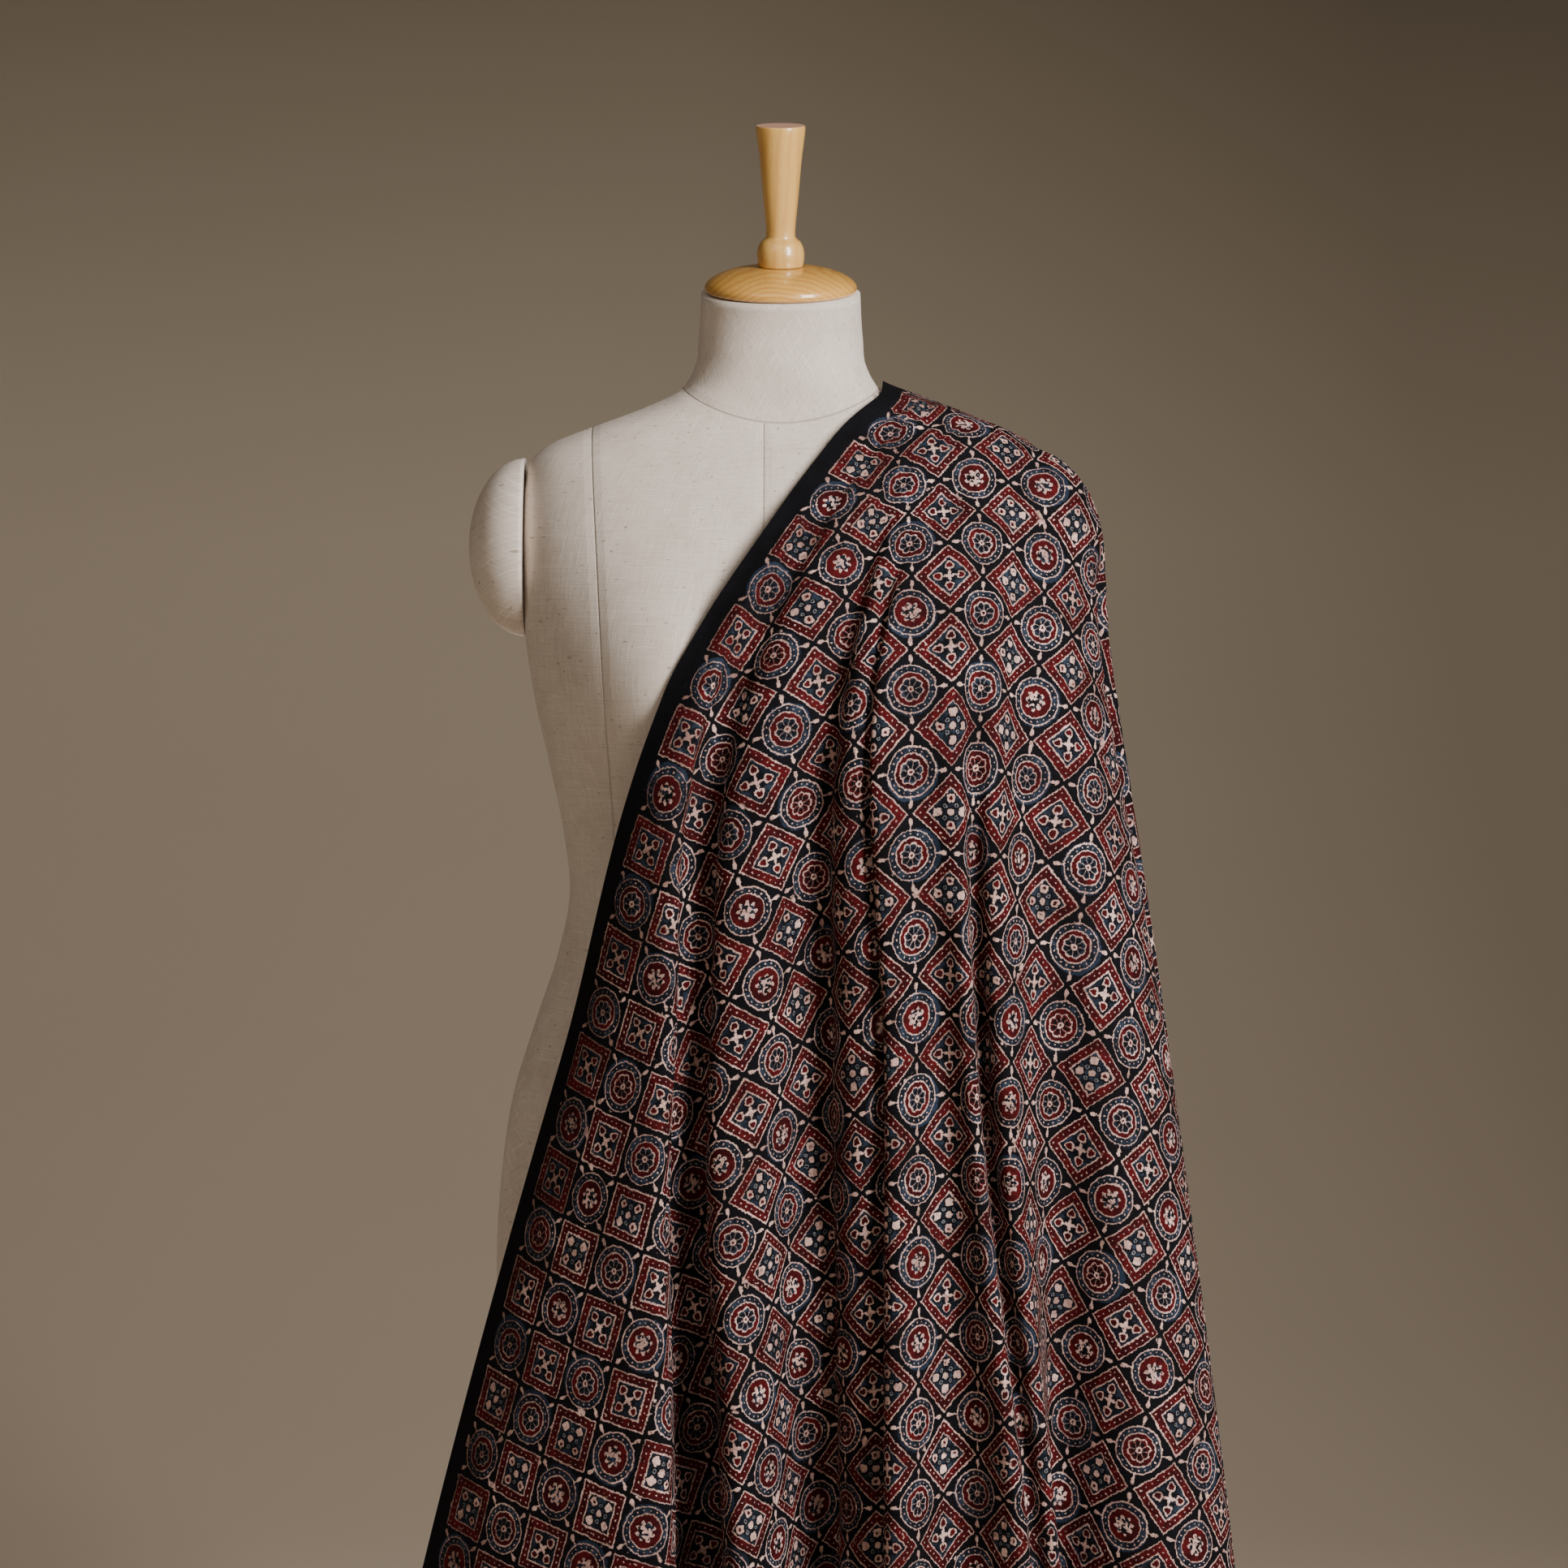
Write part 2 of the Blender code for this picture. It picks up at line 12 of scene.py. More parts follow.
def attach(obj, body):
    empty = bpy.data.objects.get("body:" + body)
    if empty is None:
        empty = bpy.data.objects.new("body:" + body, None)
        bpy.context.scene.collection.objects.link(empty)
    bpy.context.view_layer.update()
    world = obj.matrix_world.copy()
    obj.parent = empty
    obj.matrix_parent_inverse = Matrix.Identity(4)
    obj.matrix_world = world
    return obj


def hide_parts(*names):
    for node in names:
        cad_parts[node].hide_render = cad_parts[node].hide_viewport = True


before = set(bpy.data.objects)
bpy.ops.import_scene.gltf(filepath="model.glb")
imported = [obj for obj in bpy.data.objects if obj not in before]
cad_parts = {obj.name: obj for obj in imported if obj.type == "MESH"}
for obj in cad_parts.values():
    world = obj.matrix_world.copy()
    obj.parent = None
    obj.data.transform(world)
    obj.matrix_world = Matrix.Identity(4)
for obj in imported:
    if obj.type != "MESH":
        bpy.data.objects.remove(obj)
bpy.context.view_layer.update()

MM = 0.001

# Camera: the picture is 1932 pixels square
FOCAL_PX = 4561.0
PICTURE_PX = 1932.0
VIEW_DISTANCE = 2.595
VIEW_CENTRE = (0.0023, 0.0, 1.1475)
VIEW_ELEVATION_DEG = 4.0

# Backdrop: its floor sweeps up far behind the form, clear of a camera on that side
STAGE_REACH = 14.0
SWEEP_FROM = 2.2
SWEEP_RADIUS = 4.4

# Cloth, flat: width between the selvedges, length in front of and behind the shoulder ridge
CLOTH_WIDTH = 1.090
CLOTH_FRONT = 0.934
CLOTH_BACK = 0.933
BORDER = 0.013
REPEAT = 0.038
FIRST_ROW = 2.05
GRID_STEP = 0.0047

# Form, as in the frame
FORM_BOTTOM = 0.700
NECK_TOP = 1.4885
NECK_LEAN_DEG = 12.0
NECK_LEAN_FROM = 1.436
SEAT_GAP = 0.0004
SECTION_POWER = 2.25

# Torso sections in mm: height, half width, front depth, back depth
TORSO_SECTIONS = (
    (700, 184, 104, 118),
    (720, 191, 108, 122),
    (760, 198, 114, 128),
    (810, 200.5, 117, 130),
    (870, 197, 116, 127),
    (930, 188, 112, 117),
    (985, 171, 107, 102),
    (1030, 156, 102, 91),
    (1071, 148, 100, 86),
    (1115, 152, 102, 88),
    (1160, 161, 107, 93),
    (1205, 171, 112, 99),
    (1250, 178, 113, 103),
    (1295, 182, 108, 105),
    (1330, 182, 98, 102),
    (1358, 178, 84, 92),
    (1376, 172, 70, 78),
    (1387, 156, 61, 67),
    (1398, 127, 56, 60),
    (1409, 97, 55, 57),
    (1420, 73, 57, 58),
    (1436, 60.5, 58, 58),
    (1458, 57, 57, 57),
    (1488.5, 55, 55, 55),
)
BUST_X = 0.083
BUST_Z = 1.214
BUST_RISE = 0.040
BUST_SPREAD_X = 0.046
BUST_SPREAD_Z = 0.050
ARM_PLATE_X = 0.1775
ARM_CENTRE_Z = 1.313
ARM_HALF_DEPTH = 0.050
ARM_HALF_HEIGHT = 0.062
ARM_BULGE = 0.0395
CENTRE_SEAM_X = 0.0115

# Turned neck cap and finial, profiles in mm: radius, height
CAP_PROFILE = (
    (49, 0),
    (52, 1.1),
    (52.8, 3.6),
    (51.6, 6.6),
    (47.6, 10),
    (40.6, 13.4),
    (31, 16.2),
    (22, 17.6),
    (17, 18),
)
FINIAL_PROFILE = (
    (15.4, 0),
    (16.1, 3.6),
    (16.4, 8),
    (15.7, 12.6),
    (13.6, 16.8),
    (10.8, 19.4),
    (10.1, 21),
    (12.2, 47),
    (14.5, 73),
    (17, 95),
    (16.6, 96),
)
BASE_PROFILE = (
    (168, 0),
    (172, 3),
    (171, 10),
    (165, 14),
    (60, 22),
    (32, 30),
    (27, 44),
    (24, 58),
    (19, 60),
)
PLATE_RADIUS = 0.085
PLATE_THICK = 0.012
POLE_RADIUS = 0.0155

# The cloth's clearances from the form
CLOTH_THICK = 0.002
CLOTH_CLEAR = 0.0048
CREST_LIFT = 0.0074
ARM_ROOM = 0.002
SEAT_X = 0.118
SEAT_REACH = 0.040
SEAT_RISE = 0.0016
CREST_RISE = 0.0030
CREST_END_X = 0.155
CREST_DROP_REACH = 0.040
CREST_DROP = 0.0060
SHEET_CLEAR = 0.0016
NECK_END_X = 0.060
NECK_END_REACH = 0.030

# Levels of the draped cloth below the ridge of the shoulder
CHEST_Z = 1.335
BUST_LINE_Z = 1.250
WAIST_Z = 0.970
HIP_Z = 0.660
FLOOR_Z = 0.050
FALL_ON = 0.75

# share round the cloth, ridge x, chest x, chest y, bust x, bust y, in mm
SHOULDER_ROWS = (
    (0.00, 69, 0, -108, -57, -140),
    (0.10, 88, 42, -110, 2, -144),
    (0.19, 106, 84, -106, 62, -156),
    (0.24, 120, 112, -97, 97, -157),
    (0.29, 138, 140, -84, 133, -141),
    (0.34, 155, 170, -65, 170, -107),
    (0.40, 172, 198, -38, 200, -66),
    (0.45, 183, 212, -18, 214, -30),
    (0.50, 189, 216, 0, 219, 0),
    (0.56, 181, 210, 22, 213, 36),
    (0.62, 170, 193, 48, 197, 68),
    (0.70, 150, 150, 78, 152, 97),
    (0.80, 118, 98, 100, 88, 114),
    (0.90, 90, 50, 110, 18, 118),
    (1.00, 71, 8, 110, -48, 112),
)

# name, share, waist x, waist y, hip x, hip y, in mm
FOLD_ROWS = (
    ("front selvedge", 0.000, -147, -104, -234, -85),
    ("left face a", 0.010, -127, -128, -198, -122),
    ("left face b", 0.020, -102, -149, -146, -160),
    ("left face c", 0.030, -85, -161, -102, -184),
    ("fold one front", 0.037, -76, -163, -77, -187),
    ("fold one wall", 0.043, -71, -152, -70, -160),
    ("fold one foot", 0.049, -71, -141, -72, -127),
    ("valley one a", 0.057, -64, -134, -59, -111),
    ("valley one b", 0.067, -53, -132, -42, -108),
    ("fold two turn", 0.077, -46, -138, -33, -122),
    ("fold two wall", 0.087, -48, -150, -40, -154),
    ("fold two front", 0.099, -37, -161, -28, -177),
    ("fold two slope", 0.125, -12, -157, -7, -158),
    ("valley two a", 0.150, 16, -136, 21, -112),
    ("valley two b", 0.163, 33, -127, 39, -99),
    ("strip edge", 0.172, 41, -135, 40, -122),
    ("strip face", 0.182, 56, -148, 60, -143),
    ("strip turn", 0.191, 81, -150, 84, -150),
    ("fold three wall", 0.198, 67, -161, 67, -171),
    ("fold three front", 0.207, 77, -168, 80, -183),
    ("panel trough", 0.241, 109, -153, 122, -147),
    ("panel edge", 0.268, 127, -166, 160, -181),
    ("fold four wall", 0.279, 132, -147, 166, -166),
    ("fold four foot", 0.289, 134, -130, 167, -151),
    ("fold four front", 0.302, 147, -163, 182, -176),
    ("valley four", 0.328, 184, -117, 187, -99),
    ("right face a", 0.370, 210, -117, 236, -126),
    ("right face b", 0.410, 247, -91, 281, -118),
    ("right edge", 0.440, 267, -48, 307, -76),
    ("side valley one", 0.458, 214, -36, 212, -52),
    ("side ridge one", 0.480, 270, -14, 311, -16),
    ("side valley two", 0.500, 212, 4, 210, 12),
    ("side ridge two", 0.520, 268, 24, 309, 46),
    ("side valley three", 0.545, 212, 42, 212, 76),
    ("back edge", 0.575, 256, 80, 296, 124),
    ("back valley one", 0.610, 207, 92, 228, 118),
    ("back ridge one", 0.650, 174, 132, 196, 205),
    ("back valley two", 0.690, 128, 116, 140, 132),
    ("back ridge two", 0.740, 88, 147, 96, 216),
    ("back valley three", 0.790, 42, 122, 36, 136),
    ("back ridge three", 0.840, 2, 150, -14, 218),
    ("back valley four", 0.890, -44, 122, -76, 134),
    ("back ridge four", 0.940, -86, 142, -134, 198),
    ("back selvedge", 1.000, -146, 110, -228, 122),
)
SIDE_FOLD = 31
ROUND_FROM = 29
ROUND_SHARE = 0.18
FOLD_ROUND = (0.006, 0.010)

# The folds start above the waist: shares of their waist depth at the chest and the bust line
RELIEF_CHEST = 0.12
RELIEF_BUST = 0.48
RELIEF_REACH = 0.055

# Soft creases in the sheet on top of its folds, in mm
# fold row, shift at the waist in x and y, shift at the hip in x and y
CREASE_ROWS = (
    ("valley two a", -2, 9, -3, 4),
    ("valley two b", 0, 7, 0, 0),
    ("strip edge", -3, -7, 0, -5),
    ("strip face", -5, -7, -3, -6),
    ("panel trough", 0, 5, 0, 0),
    ("fold four foot", 0, -10, 0, -12),
    ("valley four", 0, 4, 0, 2),
    ("right face a", 6, -8, 4, -6),
    ("right face b", 2, -5, 0, -3),
)

# Resolution of the surface that the cloth is unrolled from
SURFACE_COLUMNS = 248
SURFACE_UPPER = 28
SURFACE_LOWER = 92
SURFACE_LOW_Z = -0.08
UNROLL_ROUNDS = 10
UNROLL_SOLVES = 60
RELAX_ROUNDS = 90


def flow_lines(knots, lines, at):
    """Smooth curves through points, with slopes taken from the neighbours.

    lines is column, knot, xyz and at is row, column.
    """
    knots = np.asarray(knots, float)
    steps = np.diff(knots)[None, :, None]
    chords = np.diff(lines, axis=1) / steps
    slopes = np.empty_like(lines)
    slopes[:, 0] = chords[:, 0]
    slopes[:, -1] = chords[:, -1]
    before = steps[:, :-1]
    after = steps[:, 1:]
    slopes[:, 1:-1] = (chords[:, :-1] * after + chords[:, 1:] * before) / (before + after)
    inside = np.minimum(at, knots[-1])
    past = (at - inside)[:, :, None]
    cell = np.clip(np.searchsorted(knots, inside, side="right") - 1, 0, len(knots) - 2)
    column = np.broadcast_to(np.arange(lines.shape[0])[None, :], at.shape)
    width = (knots[cell + 1] - knots[cell])[:, :, None]
    t = (inside - knots[cell])[:, :, None] / width
    start = lines[column, cell] * (2 * t ** 3 - 3 * t ** 2 + 1)
    start = start + slopes[column, cell] * width * (t ** 3 - 2 * t ** 2 + t)
    end = lines[column, cell + 1] * (3 * t ** 2 - 2 * t ** 3)
    end = end + slopes[column, cell + 1] * width * (t ** 3 - t ** 2)
    return start + end + slopes[column, cell * 0 + len(knots) - 1] * past


def flow(knots, values, at):
    """One such curve through rows of values, held at its ends."""
    at = np.clip(np.asarray(at, float), knots[0], knots[-1])
    return flow_lines(knots, np.asarray(values, float)[None], at[:, None])[:, 0]


TORSO_TABLE = np.array(TORSO_SECTIONS) * MM
SHOULDER = np.array(SHOULDER_ROWS)
FOLDS = np.array([row[1:] for row in FOLD_ROWS])
FOLD_NAMES = [row[0] for row in FOLD_ROWS]
for crease in CREASE_ROWS:
    FOLDS[FOLD_NAMES.index(crease[0]), 1:5] += crease[1:]


def torso_size(height):
    return flow(TORSO_TABLE[:, 0], TORSO_TABLE[:, 1:], height)


def bust_rise(x, z):
    across = (np.abs(x) - BUST_X) / BUST_SPREAD_X
    up = (z - BUST_Z) / BUST_SPREAD_Z
    return BUST_RISE * np.exp(-0.5 * (across ** 2 + up ** 2))


def torso_ring(height, turn):
    half_width, front, back = torso_size([height])[0]
    side = np.cos(turn)
    depth = np.sin(turn)
    share = 2.0 / SECTION_POWER
    x = np.sign(side) * np.abs(side) ** share * half_width
    deep = np.where(depth < 0.0, front, back)
    y = np.sign(depth) * np.abs(depth) ** share * deep
    y = y - bust_rise(x, height) * (depth < 0.0) * np.abs(depth) ** 0.5
    plate = 1.0 if 1.24 < height < 1.38 else 0.0
    x = np.clip(x, -ARM_PLATE_X, ARM_PLATE_X) if plate else x
    lean = math.tan(math.radians(NECK_LEAN_DEG))
    part = np.clip((height - NECK_LEAN_FROM) / (NECK_TOP - NECK_LEAN_FROM), 0.0, 1.0)
    z = height + y * lean * part
    y = y - (height - NECK_LEAN_FROM) * lean * part
    return np.stack([x, y, z], 1)


def pushed_clear(points, clear=CLOTH_CLEAR + CLOTH_THICK / 2.0, crest_lift=CREST_LIFT, room=ARM_ROOM):
    """Points moved outward till they clear the torso and the arm stub."""
    x, y, z = points[:, 0].copy(), points[:, 1].copy(), points[:, 2]
    lift = crest_lift * np.clip((z - 1.30) / 0.05, 0.0, 1.0)
    lift = lift * np.clip((np.abs(x) - NECK_END_X) / NECK_END_REACH, 0.15, 1.0)
    size = torso_size(np.clip(z - lift, FORM_BOTTOM, NECK_TOP))
    front = size[:, 1] + bust_rise(x, z)
    deep = np.where(y < 0.0, front, size[:, 2]) + clear
    wide = size[:, 0] + clear
    reach = (np.abs(x) / wide) ** SECTION_POWER + (np.abs(y) / deep) ** SECTION_POWER
    scale = np.where(reach < 1.0, np.maximum(reach, 1e-6) ** (-1.0 / SECTION_POWER), 1.0)
    scale = np.where(z > FORM_BOTTOM - 0.01, scale, 1.0)
    x = x * scale
    y = y * scale
    arm_gap = clear + room
    ax = np.maximum(x - ARM_PLATE_X, 0.0) / (ARM_BULGE + arm_gap)
    ay = y / (ARM_HALF_DEPTH + arm_gap)
    az = (z - ARM_CENTRE_Z) / (ARM_HALF_HEIGHT + arm_gap)
    ball = np.sqrt(ax ** 2 + ay ** 2 + az ** 2)
    inside = (ball < 1.0) & (x > ARM_PLATE_X)
    grow = np.where(inside, 1.0 / np.maximum(ball, 0.2), 1.0)
    x = np.where(inside, ARM_PLATE_X + (x - ARM_PLATE_X) * grow, x)
    y = y * grow
    z = np.where(inside, ARM_CENTRE_Z + (z - ARM_CENTRE_Z) * grow, z)
    return np.stack([x, y, z], 1)


def ridge_point(share):
    x = flow(SHOULDER[:, 0], SHOULDER[:, 1:2], share)[:, 0] * MM
    crest = TORSO_TABLE[14:22]
    z = np.interp(x, crest[::-1, 1], crest[::-1, 0])
    off_seat = np.clip(np.abs(x - SEAT_X) / SEAT_REACH, 0.0, 1.0)[:, None] ** 2
    past_crest = np.clip((x - CREST_END_X) / CREST_DROP_REACH, 0.0, 1.0) ** 2
    seated = np.stack([x, x * 0.0, z + SEAT_RISE], 1)
    lifted = pushed_clear(np.stack([x, x * 0.0, z + CREST_RISE - CREST_DROP * past_crest], 1))
    return seated + (lifted - seated) * off_seat


def section(level, column):
    ends = FOLDS[:, 1 + 2 * level:3 + 2 * level] * MM
    places = []
    points = []
    for k in range(len(ends)):
        if ROUND_FROM <= k < len(ends) - 1:
            along = ends[k + 1] - ends[k - 1]
            along = along / np.linalg.norm(along) * FOLD_ROUND[level]
            places += [k - ROUND_SHARE, k + ROUND_SHARE]
            points += [ends[k] - along, ends[k] + along]
        else:
            places.append(float(k))
            points.append(ends[k])
    points = np.array(points)
    jumps = np.linalg.norm(np.diff(points, axis=0), axis=1) ** 0.5
    knots = np.concatenate([[0.0], np.cumsum(jumps)])
    place = np.interp(column, places, knots)
    return flow(knots, points, place)


def fold_relief(columns):
    """How far the folds at the waist stand from the waist line's own running mean."""
    fine = np.linspace(0.0, len(FOLDS) - 1.0, 10 * (len(FOLDS) - 1) + 1)
    line = section(0, fine)
    length = np.concatenate([[0.0], np.cumsum(np.linalg.norm(np.diff(line, axis=0), axis=1))])
    weight = np.exp(-0.5 * ((length[:, None] - length[None, :]) / RELIEF_REACH) ** 2)
    weight = weight * np.gradient(length)[None, :]
    mean = weight @ line / weight.sum(1)[:, None]
    fade = np.clip(np.minimum(length, length[-1] - length) / RELIEF_REACH, 0.0, 1.0)[:, None]
    relief = (line - mean) * fade
    return np.stack([np.interp(columns, fine, relief[:, k]) for k in range(2)], 1)


def half_stations(columns, ridge_share):
    share = np.interp(columns, np.arange(len(FOLDS)), FOLDS[:, 0])
    upper = flow(SHOULDER[:, 0], SHOULDER[:, 2:], share) * MM
    relief = fold_relief(columns)
    flat = np.ones((len(columns), 1))
    chest = np.hstack([upper[:, 0:2] + relief * RELIEF_CHEST, flat * CHEST_Z])
    bust = np.hstack([upper[:, 2:4] + relief * RELIEF_BUST, flat * BUST_LINE_Z])
    waist = np.hstack([section(0, columns), flat * WAIST_Z])
    hip = np.hstack([section(1, columns), flat * HIP_Z])
    on = (hip - waist) * (HIP_Z - FLOOR_Z) / (WAIST_Z - HIP_Z) * FALL_ON
    floor = np.hstack([(hip + on)[:, 0:2], flat * FLOOR_Z])
    return [ridge_point(ridge_share), chest, bust, waist, hip, floor]


def half_surface(stations, other_chest):
    """Rows of the cloth's surface from the ridge down to a level below every hem."""
    ridge, chest, bust, waist, hip, floor = stations
    knots = [-0.13, 0.0, 0.13, 0.215, 0.495, 0.805, 1.415]
    lines = np.stack([other_chest, ridge, chest, bust, waist, hip, floor], 1)
    upper = knots[3] * np.arange(SURFACE_UPPER) / SURFACE_UPPER
    lower = knots[3] + (BUST_LINE_Z - SURFACE_LOW_Z) * np.linspace(0.0, 1.0, SURFACE_LOWER + 1)
    at = np.concatenate([upper, lower])[:, None] + np.zeros((1, len(ridge)))
    rows = flow_lines(knots, lines, at)
    shape = rows.shape
    rows[1:] = pushed_clear(rows[1:].reshape(-1, 3)).reshape(shape[0] - 1, shape[1], 3)
    return rows


def cloth_surface():
    """Points, triangles and a first flat layout of the draped surface, front and back joined."""
    count = SURFACE_COLUMNS
    columns_front = np.linspace(0.0, SIDE_FOLD, count + 1)
    columns_back = np.linspace(len(FOLDS) - 1.0, SIDE_FOLD, count + 1)
    share = np.interp(columns_front, np.arange(len(FOLDS)), FOLDS[:, 0])
    front = half_stations(columns_front, share)
    back = half_stations(columns_back, share)
    front_rows = half_surface(front, back[1])
    back_rows = half_surface(back, front[1])
    rows = front_rows.shape[0]
    front_id = np.arange(rows * (count + 1)).reshape(rows, count + 1)
    back_id = np.full((rows, count + 1), -1)
    back_id[0] = front_id[0]
    back_id[:, count] = front_id[:, count]
    fresh = (rows - 1) * count
    back_id[1:, :count] = front_id.size + np.arange(fresh).reshape(rows - 1, count)
    points = np.concatenate([front_rows.reshape(-1, 3), back_rows[1:, :count].reshape(-1, 3)])

    hip_front = np.linalg.norm(np.diff(front[4], axis=0), axis=1)
    hip_back = np.linalg.norm(np.diff(back[4], axis=0), axis=1)
    total = hip_front.sum() + hip_back.sum()
    turn_front = math.pi * np.concatenate([[0.0], np.cumsum(hip_front)]) / total
    turn_back = math.pi - math.pi * np.concatenate([[0.0], np.cumsum(hip_back)]) / total
    along = np.linalg.norm(np.diff(front_rows[0], axis=0), axis=1)
    ridge_a = np.concatenate([[0.0], np.cumsum(along)])
    flats = []
    for grid, turn in ((front_rows, turn_front), (back_rows, turn_back)):
        step = np.linalg.norm(np.diff(grid, axis=0), axis=2)
        down = np.concatenate([np.zeros((1, count + 1)), np.cumsum(step, axis=0)])
        flats.append(np.stack([ridge_a + down * np.sin(turn), down * np.cos(turn)], 2))
    flat = np.concatenate([flats[0].reshape(-1, 2), flats[1][1:, :count].reshape(-1, 2)])

    tris = []
    for ids, flip in ((front_id, False), (back_id, True)):
        a, b, c, d = ids[:-1, :-1], ids[:-1, 1:], ids[1:, 1:], ids[1:, :-1]
        one = np.stack([a, b, c], 2).reshape(-1, 3)
        two = np.stack([a, c, d], 2).reshape(-1, 3)
        both = np.concatenate([one, two])
        tris.append(both[:, ::-1] if flip else both)
    tris = np.concatenate(tris)
    selvedge = np.concatenate([front_id[:, 0], back_id[1:, 0]])
    return points, tris, flat, selvedge


def unrolled(points, tris, flat, selvedge):
    """The surface laid flat with as little stretch as may be, the selvedge on a straight line."""
    p0, p1, p2 = points[tris[:, 0]], points[tris[:, 1]], points[tris[:, 2]]
    e1, e2 = p1 - p0, p2 - p0
    long = np.maximum(np.linalg.norm(e1, axis=1), 1e-7)
    x2 = (e1 * e2).sum(1) / long
    y2 = np.maximum(np.linalg.norm(np.cross(e1, e2), axis=1) / long, 1e-7)
    rest = np.zeros((len(tris), 3, 2))
    rest[:, 1, 0] = long
    rest[:, 2, 0] = x2
    rest[:, 2, 1] = y2
    weights = []
    for k in range(3):
        u = rest[:, (k + 1) % 3] - rest[:, k]
        v = rest[:, (k + 2) % 3] - rest[:, k]
        cot = (u * v).sum(1) / np.maximum(np.abs(u[:, 0] * v[:, 1] - u[:, 1] * v[:, 0]), 1e-12)
        weights.append(np.clip(cot * 0.5, 0.01, 20.0))
    heads = np.concatenate([tris[:, 1], tris[:, 2], tris[:, 0]])
    tails = np.concatenate([tris[:, 2], tris[:, 0], tris[:, 1]])
    weight = np.concatenate([weights[0], weights[1], weights[2]])
    size = len(points)
    keys = np.minimum(heads, tails) * size + np.maximum(heads, tails)
    keys, where = np.unique(keys, return_inverse=True)
    weight = np.bincount(where, weight)
    heads, tails = keys // size, keys % size
    diagonal = np.bincount(heads, weight, size) + np.bincount(tails, weight, size)
    held_a = np.zeros(size, bool)
    held_a[selvedge] = True
    held_b = np.zeros(size, bool)
    held_b[selvedge[0]] = True
    free = np.stack([~held_a, ~held_b], 1).astype(float)

    def spread(x):
        out = np.empty_like(x)
        for axis in range(2):
            pull = weight * (x[heads, axis] - x[tails, axis])
            out[:, axis] = np.bincount(heads, pull, size) - np.bincount(tails, pull, size)
        return out

    flat = flat.copy()
    flat[selvedge, 0] = 0.0
    for _ in range(UNROLL_ROUNDS):
        corner = flat[tris]
        near = np.zeros((len(tris), 2, 2))
        for k, (i, j) in enumerate(((1, 2), (2, 0), (0, 1))):
            now = corner[:, i] - corner[:, j]
            was = rest[:, i] - rest[:, j]
            near += weights[k][:, None, None] * now[:, :, None] * was[:, None, :]
        c = near[:, 0, 0] + near[:, 1, 1]
        s = near[:, 1, 0] - near[:, 0, 1]
        norm = np.maximum(np.hypot(c, s), 1e-12)
        c, s = c / norm, s / norm
        aim = np.zeros((size, 2))
        for k, (i, j) in enumerate(((1, 2), (2, 0), (0, 1))):
            was = rest[:, i] - rest[:, j]
            want_x = weights[k] * (c * was[:, 0] - s * was[:, 1])
            want_y = weights[k] * (s * was[:, 0] + c * was[:, 1])
            aim[:, 0] += np.bincount(tris[:, i], want_x, size) - np.bincount(tris[:, j], want_x, size)
            aim[:, 1] += np.bincount(tris[:, i], want_y, size) - np.bincount(tris[:, j], want_y, size)
        left = (aim - spread(flat)) * free
        scaled = left / diagonal[:, None]
        step = scaled.copy()
        power = (left * scaled).sum(0)
        for _ in range(UNROLL_SOLVES):
            pulled = spread(step) * free
            rate = power / np.maximum((step * pulled).sum(0), 1e-20)
            flat += rate * step
            left -= rate * pulled
            scaled = left / diagonal[:, None]
            fresh = (left * scaled).sum(0)
            step = scaled + (fresh / np.maximum(power, 1e-30)) * step
            power = fresh
    return flat


def cut_rectangle(points, tris, flat):
    """Places of a straight cut rectangle's grid points on the draped surface."""
    across = int(round(CLOTH_WIDTH / GRID_STEP))
    length = CLOTH_FRONT + CLOTH_BACK
    down = int(round(length / GRID_STEP))
    step_a = CLOTH_WIDTH / across
    step_b = length / down
    grid = np.full((across + 1, down + 1, 3), np.nan)
    place = np.stack([flat[:, 0] / step_a, (flat[:, 1] + CLOTH_BACK) / step_b], 1)
    corner = place[tris]
    low = np.ceil(corner.min(1) - 1e-9).astype(int)
    high = np.floor(corner.max(1) + 1e-9).astype(int)
    u = corner[:, 1] - corner[:, 0]
    v = corner[:, 2] - corner[:, 0]
    area = u[:, 0] * v[:, 1] - u[:, 1] * v[:, 0]
    reach = int((high - low).max()) + 1
    for da in range(min(reach, 9)):
        for db in range(min(reach, 9)):
            a = low[:, 0] + da
            b = low[:, 1] + db
            use = (a <= high[:, 0]) & (b <= high[:, 1]) & (a >= 0) & (a <= across) & (b >= 0) & (b <= down)
            use &= np.abs(area) > 1e-9
            use = np.nonzero(use)[0]
            if len(use) == 0:
                continue
            w = np.stack([a[use], b[use]], 1) - corner[use, 0]
            s = (w[:, 0] * v[use, 1] - w[:, 1] * v[use, 0]) / area[use]
            t = (u[use, 0] * w[:, 1] - u[use, 1] * w[:, 0]) / area[use]
            hit = (s > -0.02) & (t > -0.02) & (s + t < 1.02)
            use, s, t = use[hit], s[hit][:, None], t[hit][:, None]
            mix = points[tris[use, 0]] * (1 - s - t) + points[tris[use, 1]] * s + points[tris[use, 2]] * t
            grid[a[use], b[use]] = mix
    return grid, step_a, step_b


